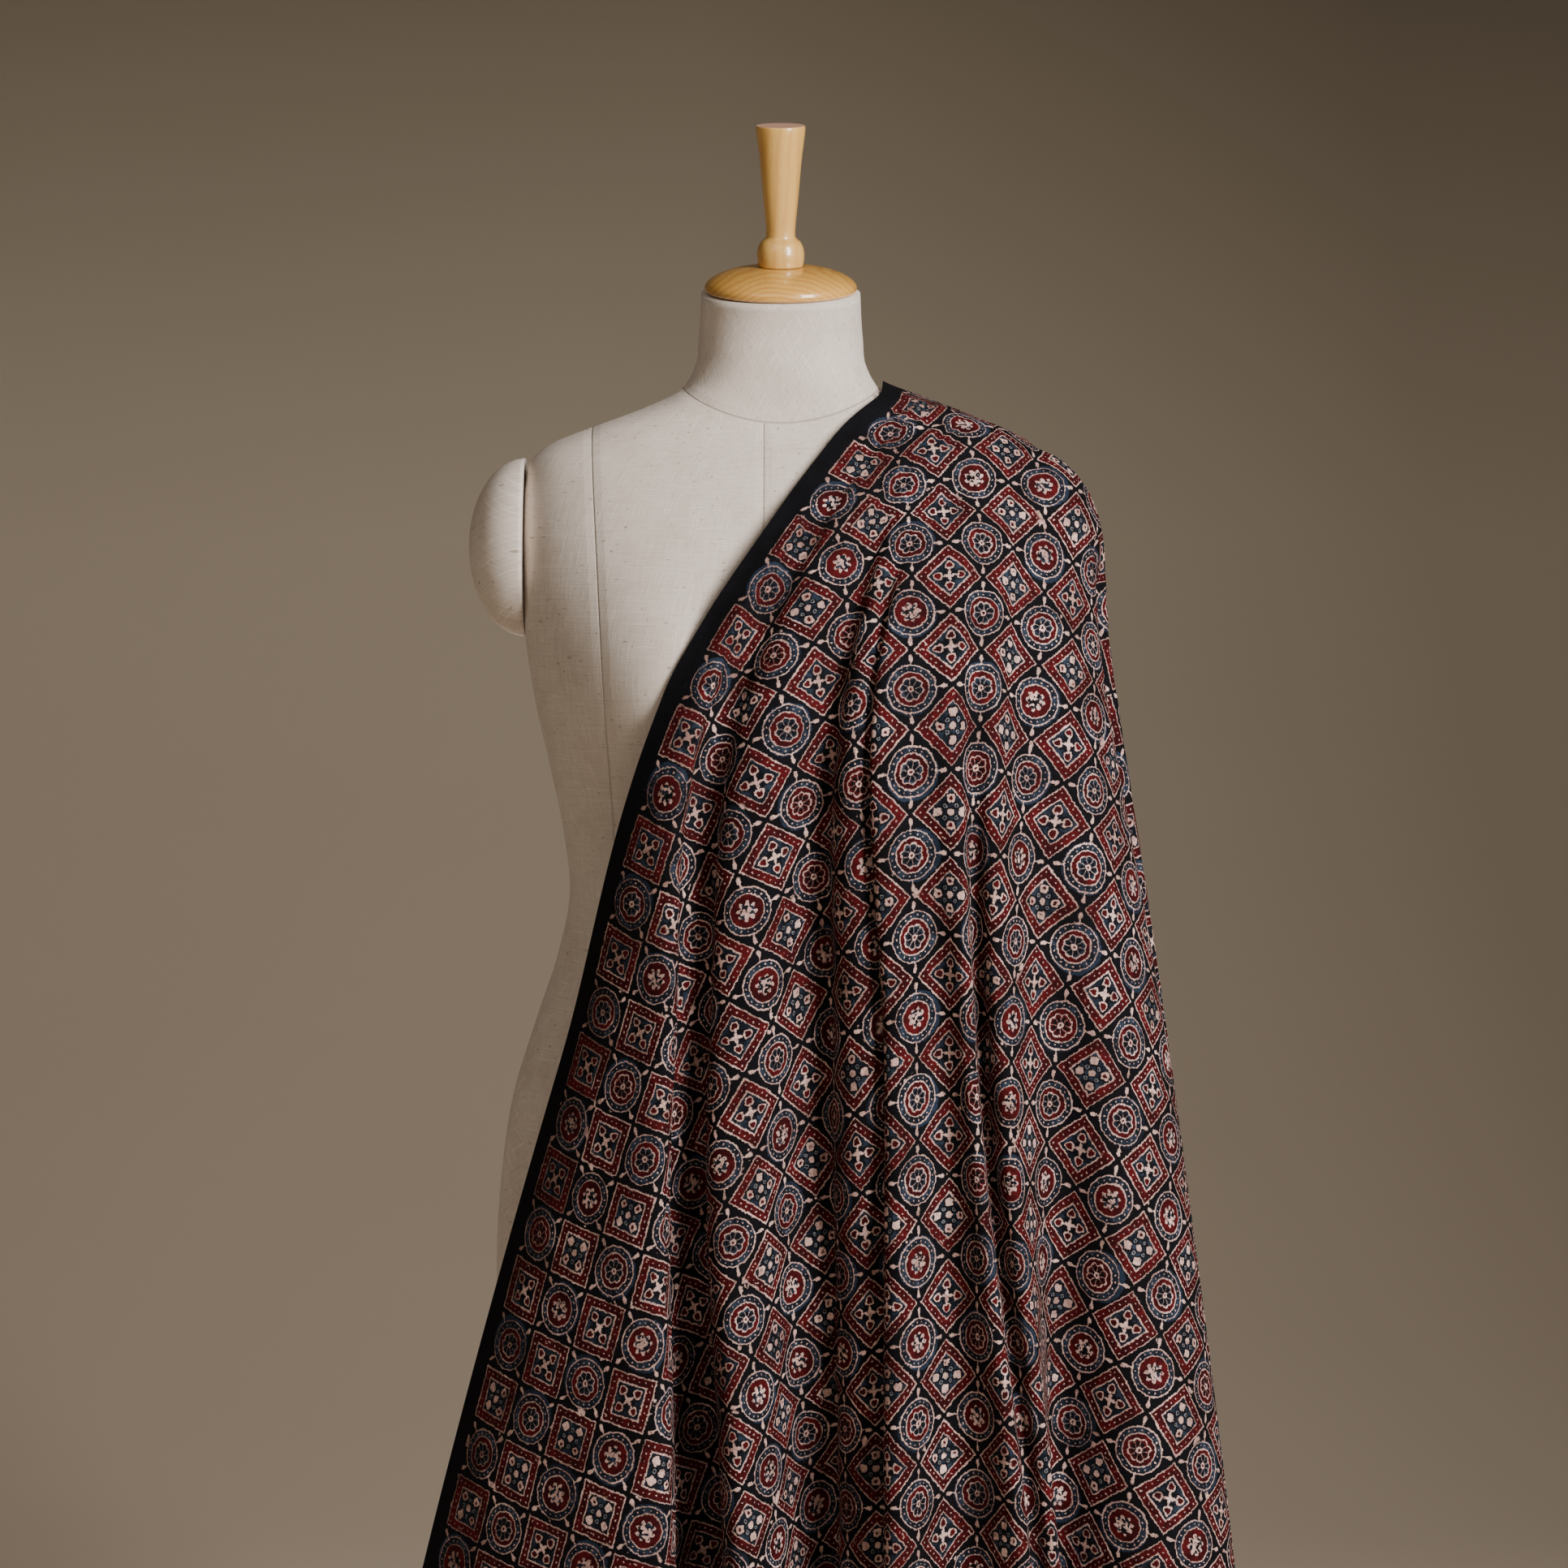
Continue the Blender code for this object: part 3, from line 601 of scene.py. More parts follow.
def filled(grid):
    """Grid points that no triangle covers, continued from their neighbours."""
    for _ in range(200):
        missing = np.isnan(grid[:, :, 0])
        if not missing.any():
            break
        total = np.zeros_like(grid)
        votes = np.zeros(grid.shape[:2])
        for da, db in ((1, 0), (-1, 0), (0, 1), (0, -1)):
            one = np.roll(grid, (da, db), (0, 1))
            two = np.roll(grid, (2 * da, 2 * db), (0, 1))
            guess = 2.0 * one - two
            if da:
                edge = [0, 1] if da > 0 else [-1, -2]
                guess[edge] = np.nan
            else:
                edge = [0, 1] if db > 0 else [-1, -2]
                guess[:, edge] = np.nan
            good = ~np.isnan(guess[:, :, 0])
            total[good] += guess[good]
            votes += good
        put = missing & (votes > 0)
        grid[put] = total[put] / votes[put][:, None]
    return grid


def relaxed(grid, step_a, step_b, rounds):
    """The sheet's threads brought back to their own lengths, near the drape and off the form."""
    x = grid.copy()
    home = grid.copy()
    diagonal = math.hypot(step_a, step_b)

    def pull(one, two, rest, stiff):
        gap = two - one
        span = np.maximum(np.linalg.norm(gap, axis=2), 1e-9)[:, :, None]
        move = gap * (0.5 * stiff * (span - rest) / span)
        one += move
        two -= move

    for turn in range(rounds):
        for odd in (0, 1):
            pull(x[odd:-1:2], x[odd + 1::2], step_a, 0.95)
            pull(x[:, odd:-1:2], x[:, odd + 1::2], step_b, 0.95)
        for odd in (0, 1):
            pull(x[odd:-1:2, :-1], x[odd + 1::2, 1:], diagonal, 0.22)
            pull(x[odd:-1:2, 1:], x[odd + 1::2, :-1], diagonal, 0.22)
        smooth = x.copy()
        smooth[1:-1] += 0.06 * (x[2:] + x[:-2] - 2.0 * x[1:-1])
        smooth[:, 1:-1] += 0.06 * (x[:, 2:] + x[:, :-2] - 2.0 * x[:, 1:-1])
        x = smooth
        x += 0.03 * (home - x)
        if turn % 5 == 4:
            shape = x.shape
            x = pushed_clear(x.reshape(-1, 3), SHEET_CLEAR, 0.004, 0.001).reshape(shape)
    return x


def link(name, mesh):
    thing = bpy.data.objects.new(name, mesh)
    bpy.context.scene.collection.objects.link(thing)
    return thing


def mesh_from(name, points, faces):
    mesh = bpy.data.meshes.new(name)
    mesh.from_pydata(np.asarray(points, float).tolist(), [], faces)
    mesh.polygons.foreach_set("use_smooth", [True] * len(mesh.polygons))
    mesh.update()
    return mesh


def build_cloth():
    points, tris, flat, selvedge = cloth_surface()
    flat = unrolled(points, tris, flat, selvedge)
    grid, step_a, step_b = cut_rectangle(points, tris, flat)
    grid = filled(grid)
    grid = relaxed(grid, step_a, step_b, RELAX_ROUNDS)
    count_a, count_b = grid.shape[:2]
    ids = np.arange(count_a * count_b).reshape(count_a, count_b)
    quads = np.stack([ids[:-1, :-1], ids[:-1, 1:], ids[1:, 1:], ids[1:, :-1]], 2).reshape(-1, 4)
    mesh = mesh_from("ajrakh_sheet", grid.reshape(-1, 3), quads.tolist())
    u = np.repeat(np.linspace(0.0, 1.0, count_a), count_b)
    v = np.tile(np.linspace(0.0, 1.0, count_b), count_a)
    layer = mesh.uv_layers.new(name="OFBake")
    corners = np.zeros(len(mesh.loops), np.int32)
    mesh.loops.foreach_get("vertex_index", corners)
    layer.data.foreach_set("uv", np.stack([u[corners], v[corners]], 1).ravel())
    return link("ajrakh_sheet", mesh)


class Field:
    """A number in a material's nodes; arithmetic on it adds nodes."""

    def __init__(self, tree, socket):
        self.tree = tree
        self.socket = socket

    def math(self, kind, *others, clamp=False):
        node = self.tree.nodes.new("ShaderNodeMath")
        node.operation = kind
        node.use_clamp = clamp
        for slot, value in zip(node.inputs, (self, *others)):
            if isinstance(value, Field):
                self.tree.links.new(value.socket, slot)
            else:
                slot.default_value = value
        return Field(self.tree, node.outputs[0])

    def __add__(self, other):
        return self.math("ADD", other)

    def __sub__(self, other):
        return self.math("SUBTRACT", other)

    def __mul__(self, other):
        return self.math("MULTIPLY", other)

    def __truediv__(self, other):
        return self.math("DIVIDE", other)

    def __abs__(self):
        return self.math("ABSOLUTE")

    def __pow__(self, other):
        return self.math("POWER", other)

    def most(self, other):
        return self.math("MAXIMUM", other)

    def least(self, other):
        return self.math("MINIMUM", other)

    def whole(self):
        return self.math("FLOOR")

    def part(self):
        return self.math("FRACT")

    def sine(self):
        return self.math("SINE")

    def cosine(self):
        return self.math("COSINE")

    def root(self):
        return self.math("SQRT")

    def turned_from(self):
        """1 minus the number."""
        return (self * -1.0) + 1.0

    def under(self, edge, soft=0.012):
        """1 below the edge and 0 above it, with a soft step."""
        if isinstance(edge, Field):
            return ((edge - self) / soft).math("ADD", 0.5, clamp=True)
        return self.math("MULTIPLY_ADD", -1.0 / soft, edge / soft + 0.5, clamp=True)

    def over(self, edge, soft=0.012):
        if isinstance(edge, Field):
            return ((self - edge) / soft).math("ADD", 0.5, clamp=True)
        return self.math("MULTIPLY_ADD", 1.0 / soft, 0.5 - edge / soft, clamp=True)

    def between(self, low, high, soft=0.012):
        return self.over(low, soft) * self.under(high, soft)


class Look:
    """A material under construction."""

    def __init__(self, name):
        self.material = bpy.data.materials.new(name)
        self.material.use_nodes = True
        self.tree = self.material.node_tree
        self.shader = self.tree.nodes["Principled BSDF"]
        self.shade = None

    def node(self, kind, **settings):
        made = self.tree.nodes.new(kind)
        for key, value in settings.items():
            setattr(made, key, value)
        return made

    def link(self, source, target):
        self.tree.links.new(source.socket if isinstance(source, Field) else source, target)

    def place(self):
        """Object coordinates, which are metres in the frame."""
        coords = self.node("ShaderNodeTexCoord")
        split = self.node("ShaderNodeSeparateXYZ")
        self.link(coords.outputs["Object"], split.inputs[0])
        return [Field(self.tree, split.outputs[k]) for k in range(3)]

    def joined(self, x, y, z=0.0):
        node = self.node("ShaderNodeCombineXYZ")
        for slot, value in zip(node.inputs, (x, y, z)):
            if isinstance(value, Field):
                self.link(value, slot)
            else:
                slot.default_value = value
        return node.outputs[0]

    def noise(self, vector, scale, detail=2.0, rough=0.5, colour=False):
        node = self.node("ShaderNodeTexNoise")
        self.link(vector, node.inputs["Vector"])
        node.inputs["Scale"].default_value = scale
        node.inputs["Detail"].default_value = detail
        node.inputs["Roughness"].default_value = rough
        if colour:
            split = self.node("ShaderNodeSeparateColor")
            self.link(node.outputs["Color"], split.inputs[0])
            return [Field(self.tree, split.outputs[k]) for k in range(3)]
        return Field(self.tree, node.outputs[0])

    def dice(self, vector):
        """Three even random numbers for each whole place."""
        node = self.node("ShaderNodeTexWhiteNoise", noise_dimensions="3D")
        self.link(vector, node.inputs["Vector"])
        split = self.node("ShaderNodeSeparateColor")
        self.link(node.outputs["Color"], split.inputs[0])
        return [Field(self.tree, split.outputs[k]) for k in range(3)]

    def laid(self, below, mask, above, blend="MIX"):
        """One colour laid over another where the mask is 1."""
        node = self.node("ShaderNodeMix", data_type="RGBA", blend_type=blend)
        self.link(mask, node.inputs[0])
        for slot, value in ((node.inputs[6], below), (node.inputs[7], above)):
            if isinstance(value, tuple):
                slot.default_value = (*value, 1.0)
            else:
                self.link(value, slot)
        return node.outputs[2]

    def lay(self, mask, above, blend="MIX"):
        self.shade = self.laid(self.shade, mask, above, blend)

    def done(self, normal=None, **numbers):
        """The material, with its colour and normal joined and the shader's other numbers set."""
        self.link(self.shade, self.shader.inputs["Base Color"])
        for name, value in numbers.items():
            self.shader.inputs[name.replace("_", " ")].default_value = value
        if normal is not None:
            self.link(normal, self.shader.inputs["Normal"])
        return self.material

    def bump(self, height, distance, strength=1.0, under=None):
        node = self.node("ShaderNodeBump")
        node.inputs["Strength"].default_value = strength
        node.inputs["Distance"].default_value = distance
        self.link(height, node.inputs["Height"])
        if under is not None:
            self.link(under, node.inputs["Normal"])
        return node.outputs[0]


def ajrakh_look():
    """Squares and circles in turn, counted in repeats from the printed corner of the cloth."""
    look = Look("printed_cotton")
    uv = look.node("ShaderNodeUVMap", uv_map="OFBake")
    split = look.node("ShaderNodeSeparateXYZ")
    look.link(uv.outputs[0], split.inputs[0])
    a = Field(look.tree, split.outputs[0]) * CLOTH_WIDTH
    b = Field(look.tree, split.outputs[1]) * (CLOTH_FRONT + CLOTH_BACK) - CLOTH_BACK
    flat = look.joined(a, b)

    # The blocks' lines waver, their edges are rough, and each block lands a little off its place
    drift = look.noise(flat, 14.0, 1.0, 0.5, colour=True)
    waver = look.noise(flat, 210.0, 2.0, 0.6, colour=True)
    rough = look.noise(flat, 760.0, 1.0, 0.5, colour=True)
    p_true = (a - BORDER) / REPEAT
    q_true = b / REPEAT + (0.5 - FIRST_ROW)
    p = p_true + (drift[0] - 0.5) * 0.10 + (waver[0] - 0.5) * 0.060 + (rough[0] - 0.5) * 0.050
    q = q_true + (drift[1] - 0.5) * 0.10 + (waver[1] - 0.5) * 0.060 + (rough[1] - 0.5) * 0.050
    column = p.whole()
    row = q.whole()
    x = p - column - 0.5
    y = q - row - 0.5
    cell = look.joined(column, row)
    luck = look.dice(cell)
    fate = look.dice(look.joined(column, row, 7.0))
    odd = ((column + row) * 0.5).part().over(0.25, 0.1)
    round_cell = odd.turned_from()
    ax, ay = abs(x), abs(y)
    m = ax.most(ay)
    side = ax.least(ay)
    r = (x * x + y * y).root()
    along = (ax + ay) * 0.7071
    across = (ax - ay) * 0.7071
    turn = y.math("ARCTAN2", x)
    thick = (look.noise(flat, 90.0, 2.0, 0.6) - 0.5) * 0.034

    # Dyes, each lighter and darker in patches; the cream is also darker along the selvedge, which is
    # painted shade
    blotch = look.noise(flat, 105.0, 3.0, 0.65, colour=True)
    stain = look.noise(flat, 24.0, 3.0, 0.6)
    black = (0.0040, 0.0038, 0.0056)
    grime = (stain.over(0.50, 0.20) * 0.55).most(blotch[0].over(0.58, 0.12) * 0.65)
    # Painted shade: the cream darkens in patches next to the selvedge, on top of its random darker dye
    # tone
    painted_selvedge_shade = p_true.under(1.6, 1.4) * stain.over(0.44, 0.12)
    cream = look.laid((0.790, 0.550, 0.495), grime.most(painted_selvedge_shade * 0.80), (0.220, 0.125, 0.098))
    red = look.laid((0.086, 0.0048, 0.0066), blotch[1].over(0.48, 0.22) * 0.85, (0.027, 0.0026, 0.0040))
    indigo = look.laid((0.026, 0.040, 0.066), blotch[2].over(0.44, 0.18) * 0.90, (0.0050, 0.0075, 0.0130))
    pale_blue = (0.200, 0.215, 0.245)

    # A blue block set down beside its circle shows past the ring as a dark crescent
    slip_x = x - (fate[0] - 0.35) * 0.110
    slip_y = y - (fate[1] - 0.65) * 0.110
    slipped = (slip_x * slip_x + slip_y * slip_y).root().under(0.462)
    crescent = slipped * round_cell * fate[2].over(0.35, 0.2) * 0.85
    look.shade = look.laid(black, crescent, (0.020, 0.034, 0.062))

    # Squares
    look.lay(m.under(thick + 0.466) * odd, cream)
    look.lay((m + (fate[0] - 0.5) * 0.012).under(0.447) * odd, red)
    dot_place = (side * (1.0 / 0.124) + 0.5).part() - 0.5
    dot_far = ((dot_place * 0.124) ** 2.0 + (m - 0.376) ** 2.0).root()
    look.lay(dot_far.under(0.0125, 0.010) * odd, cream)
    look.lay(m.under(thick + 0.303) * odd, cream)
    look.lay((m + (fate[1] - 0.5) * 0.014).under(0.282) * odd, indigo)

    # Inside a square: red buds with a cream rim round a cross, or cream petals round a disc
    budded = luck[0].over(0.46, 0.01) * odd
    petalled = luck[0].under(0.46, 0.01) * odd
    s = along - 0.222
    bud = (s * s + (across * (s * 5.5 + 1.15)) ** 2.0).root()
    stem = abs(across).under(0.011) * along.under(0.170)
    look.lay(bud.under(0.112) * budded, black)
    look.lay(bud.under(thick + 0.088) * budded, cream)
    look.lay(bud.under(0.064) * budded, red)
    look.lay(side.under(0.030) * m.between(0.085, 0.150) * budded, black)
    cross = r + (turn * 4.0).cosine() * 0.030
    look.lay(cross.under(0.106) * budded, black)
    look.lay(cross.under(thick * 1.6 + 0.076).most(stem) * budded, cream)
    s = along - 0.232
    petal = (s ** 4.0 + (across * (s * -1.5 + 1.0)) ** 4.0) ** 0.25
    look.lay(petal.under(0.098) * petalled, black)
    look.lay(petal.under(thick * 1.8 + 0.070) * petalled, cream)
    fleck = (s * s + across * across).root().under(0.036)
    reddened = look.noise(flat, 60.0, 0.0, 0.5).over(0.50, 0.05)
    look.lay(fleck * petalled * reddened, red)
    eye = ((m - 0.145) ** 2.0 + side ** 2.0).root()
    look.lay(eye.under(0.062) * petalled, black)
    look.lay(eye.between(0.022, 0.036) * petalled, pale_blue)
    look.lay(r.under(0.078) * petalled, black)
    look.lay(r.under(thick + 0.060) * petalled, cream)

    # Circles: a beaded blue band between two cream rings, round a red disc
    look.lay(r.under(thick + 0.440) * round_cell, cream)
    look.lay((r + (fate[1] - 0.5) * 0.012).under(0.421) * round_cell, indigo)
    beads = turn * (19.0 / (2.0 * math.pi)) + luck[1]
    bead_place = (beads.part() - 0.5) * (2.0 * math.pi / 19.0) * 0.366
    bead_far = (bead_place ** 2.0 + (r - 0.366) ** 2.0).root()
    look.lay(bead_far.under(0.0125, 0.010) * round_cell, cream)
    look.lay(r.under(thick + 0.313) * round_cell, cream)
    look.lay((r + (fate[0] - 0.5) * 0.012).under(0.294) * round_cell, red)

    # Inside a circle: a wheel of eight petals, or a cream star with blots
    spin = turn * 4.0 + luck[2] * 3.0
    lobes = abs(spin.cosine())
    wheel = luck[0].over(0.40, 0.01) * round_cell
    star = luck[0].under(0.40, 0.01) * round_cell
    scallop = r - lobes * 0.034
    look.lay(scallop.under(thick + 0.190) * wheel, cream)
    petals = look.laid(indigo, luck[1].over(0.70, 0.01), red)
    look.lay(scallop.under(0.168) * wheel, petals)
    pit = r.between(0.085, 0.150, 0.02) * lobes.over(0.62, 0.2)
    look.lay(pit * wheel, black)
    spokes = (abs(spin.cosine()) * r).under(0.011, 0.010) * r.between(0.05, 0.165)
    look.lay(spokes * wheel, cream)
    look.lay(r.between(0.056, 0.076) * wheel, black)
    look.lay(r.under(thick + 0.058) * wheel, cream)
    look.lay(r.under(0.026) * wheel, red)
    look.lay((r - lobes * 0.085).under(thick * 2.0 + 0.106) * star, cream)
    spots = look.noise(flat, 300.0, 1.0, 0.5, colour=True)
    look.lay(spots[0].over(0.53, 0.05) * r.under(0.155) * star, indigo)
    look.lay(spots[1].over(0.58, 0.05) * r.under(0.150) * star, black)

    # Drops on short stems point from the circles to the corners
    t = along - (luck[1] * 0.030 + 0.545)
    stalk = along.between(0.43, 0.54) * abs(across).under(0.010)
    drop = ((t * 0.50) ** 2.0 + (across * (t * -3.4 + 1.0)) ** 2.0).root().under(thick * 0.5 + 0.034)
    look.lay(stalk.most(drop) * round_cell, cream)

    # Resist that ran: cream blots where blocks meet and short bars across the lines
    blot = look.noise(flat, 52.0, 3.0, 0.65)
    look.lay(blot.over(0.660, 0.02) * m.over(0.440, 0.06), cream)
    bars = look.noise(look.joined(a * 0.3, b), 520.0, 1.0, 0.5)
    look.lay(bars.over(0.735, 0.03) * m.between(0.330, 0.470) * odd, cream)
    printed = p_true.between(0.0, 28.0, 0.03)
    look.shade = look.laid(black, printed, look.shade)

    # Dye that took unevenly, worn threads and dust
    cloudy = look.noise(flat, 30.0, 4.0, 0.6)
    look.lay(cloudy.over(0.50, 0.26) * 0.70, (0.46, 0.40, 0.39), "MULTIPLY")
    worn = look.noise(flat, 420.0, 3.0, 0.7)
    look.lay(worn.over(0.54, 0.16) * 0.55, (0.42, 0.38, 0.38), "MULTIPLY")

    # Weave
    thread = 2.0 * math.pi / 0.00056
    weft = (a * thread).sine()
    warp = (b * thread).sine()
    weave = weft * warp * 0.5 + look.noise(flat, 1500.0, 2.0, 0.6)
    return look.done(look.bump(weave, 0.00016, 0.5), Roughness=0.86, Specular_IOR_Level=0.10)


def linen_look():
    look = Look("linen_cover")
    x, y, z = look.place()
    # Above the neck seam and on the arm stubs the cloth is cut on the bias
    above_neck = z - x * x * 4.4 - y * 0.12 - 1.4047
    neck = above_neck.over(0.0, 0.0006)
    arm = abs(x).over(ARM_PLATE_X + 0.0002, 0.0004)
    bias = neck.most(arm)
    around = y.math("ARCTAN2", x) * 0.10
    wide = around * bias.turned_from() + (around * 0.7071 + z * 0.7071) * bias
    tall = z * bias.turned_from() + (z * 0.7071 - around * 0.7071) * bias
    slub_h = look.noise(look.joined(wide * 34.0, tall * 980.0), 1.0, 3.0, 0.6)
    slub_v = look.noise(look.joined(wide * 980.0, tall * 34.0, 3.0), 1.0, 3.0, 0.6)
    fine_h = look.noise(look.joined(wide * 90.0, tall * 1500.0, 5.0), 1.0, 1.0, 0.5)
    fine_v = look.noise(look.joined(wide * 1500.0, tall * 90.0, 8.0), 1.0, 1.0, 0.5)
    place = look.joined(x, y, z)
    mottle = look.noise(place, 9.0, 3.0, 0.5)
    grime = look.noise(place, 34.0, 4.0, 0.65)
    fleck = look.noise(look.joined(wide * 240.0, tall * 420.0, 2.0), 1.0, 2.0, 0.5)
    look.shade = look.laid((0.615, 0.540, 0.475), mottle, (0.690, 0.615, 0.550))
    look.lay(fine_h.over(0.50, 0.30) * 0.22, (0.42, 0.355, 0.300))
    look.lay(fine_v.over(0.50, 0.30) * 0.22, (0.42, 0.355, 0.300))
    pale = bias * 0.35 + 0.45
    look.lay(slub_h.over(0.625, 0.06) * pale, (0.76, 0.70, 0.64))
    look.lay(slub_v.over(0.630, 0.06) * pale, (0.76, 0.70, 0.64))
    look.lay(slub_h.under(0.37, 0.10) * 0.30, (0.36, 0.295, 0.235))
    look.lay(slub_v.under(0.37, 0.10) * 0.26, (0.36, 0.295, 0.235))
    look.lay(grime.over(0.56, 0.16) * 0.22, (0.40, 0.330, 0.265))
    look.lay(fleck.over(0.690, 0.03) * 0.60, (0.20, 0.13, 0.085))

    # Seams: centre front and back, two princess seams a side, and round the neck
    line = ((z - 1.09) ** 2.0 + 0.0016).root() * 0.066 + 0.110
    princess = abs(abs(x) - line)
    centre = abs(x + CENTRE_SEAM_X)
    nearest = (princess.least(centre) + neck).least(abs(above_neck))
    seam = nearest.under(0.0005, 0.0009) * arm.turned_from()
    look.lay(seam * 0.42, (0.19, 0.150, 0.115))
    pucker = nearest.under(0.0036, 0.0050) * arm.turned_from()
    grain = slub_h * 0.5 + slub_v * 0.5
    first = look.bump(grain, 0.0006, 0.55)
    both = look.bump(pucker.turned_from() + seam.turned_from(), 0.0007, 0.7, under=first)
    return look.done(both, Roughness=0.93, Sheen_Weight=0.06)


def wood_look(name, light, dark, coat=0.8, plank=False):
    """Varnished wood: fibres run up the piece, or a plank's growth rings cross it in curves."""
    look = Look(name)
    x, y, z = look.place()
    wander = look.noise(look.joined(x, y, z * 0.3), 22.0, 3.0, 0.5)
    if plank:
        depth = z + 0.045
        ring = ((x * x + depth * depth).root() + y * 0.10 + wander * 0.010) * (2.0 * math.pi / 0.0034)
        fibre = look.noise(look.joined(x * 900.0, y * 40.0, z * 900.0), 1.0, 3.0, 0.6)
    else:
        ring = (x + y * 0.35 + wander * 0.020) * (2.0 * math.pi / 0.0085)
        fibre = look.noise(look.joined(x * 900.0, y * 900.0, z * 22.0), 1.0, 3.0, 0.6)
    rings = ring.sine() * 0.5 + 0.5
    cloud = look.noise(look.joined(x, y, z * 0.2), 26.0, 3.0, 0.5)
    look.shade = look.laid(light, (rings ** 2.5) * 0.62, dark)
    look.lay(fibre.over(0.56, 0.14) * 0.34, dark)
    look.lay(cloud.over(0.5, 0.4) * 0.25, light)
    grain = look.bump(fibre, 0.0002, 0.3)
    return look.done(grain, Roughness=0.36, Coat_Weight=coat, Coat_Roughness=0.08)


def raw_wood_look():
    look = Look("raw_wood")
    x, y, z = look.place()
    r = ((x * x) + (y * y)).root()
    wander = look.noise(look.joined(x, y, z), 120.0, 2.0, 0.5)
    rings = ((r + wander * 0.004) * 4200.0).sine() * 0.5 + 0.5
    look.shade = look.laid((0.470, 0.275, 0.190), rings * 0.5, (0.330, 0.170, 0.110))
    return look.done(look.bump(rings, 0.0002, 0.4), Roughness=0.82)


def steel_look():
    look = Look("painted_steel")
    x, y, z = look.place()
    grain = look.noise(look.joined(x, y, z), 700.0, 3.0, 0.6)
    cloud = look.noise(look.joined(x, y, z * 0.4), 20.0, 3.0, 0.5)
    look.shade = look.laid((0.040, 0.038, 0.036), cloud, (0.060, 0.057, 0.053))
    look.link(grain * 0.18 + 0.34, look.shader.inputs["Roughness"])
    return look.done(look.bump(grain, 0.00012, 0.35), Metallic=0.6)


def rings_mesh(name, rings):
    """A closed body from rings of equal length."""
    around = len(rings[0])
    points = np.concatenate([*rings, [np.mean(rings[0], axis=0)], [np.mean(rings[-1], axis=0)]])
    low_centre = len(points) - 2
    faces = []
    for row in range(len(rings) - 1):
        for k in range(around):
            after = (k + 1) % around
            low = row * around
            faces.append((low + k, low + after, low + around + after, low + around + k))
    top = (len(rings) - 1) * around
    caps = []
    for k in range(around):
        after = (k + 1) % around
        caps.append((low_centre, after, k))
        caps.append((low_centre + 1, top + k, top + after))
    return mesh_from(name, points, faces + caps), len(faces)


def turned_mesh(name, profile, around=96, fine=4):
    """A turned body from rows of radius and height in mm, smoothed between the rows."""
    rows = np.array(profile)
    jumps = np.linalg.norm(np.diff(rows, axis=0), axis=1) ** 0.5
    knots = np.concatenate([[0.0], np.cumsum(jumps)])
    spans = [np.linspace(*span, fine, endpoint=False) for span in zip(knots[:-1], knots[1:])]
    at = np.append(np.concatenate(spans), knots[-1])
    smooth = flow(knots, rows, at)
    turn = np.linspace(0.0, 2.0 * math.pi, around, endpoint=False)
    rings = []
    for radius, height in smooth:
        ring = np.stack([np.cos(turn) * radius, np.sin(turn) * radius, turn * 0.0 + height], 1)
        rings.append(ring * MM)
    return rings_mesh(name, rings)


def fitted(name, mesh, material, stands_for):
    """A piece of the form that shows in place of its solid."""
    mesh.materials.append(material)
    piece = link(name, mesh)
    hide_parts(stands_for)
    return piece


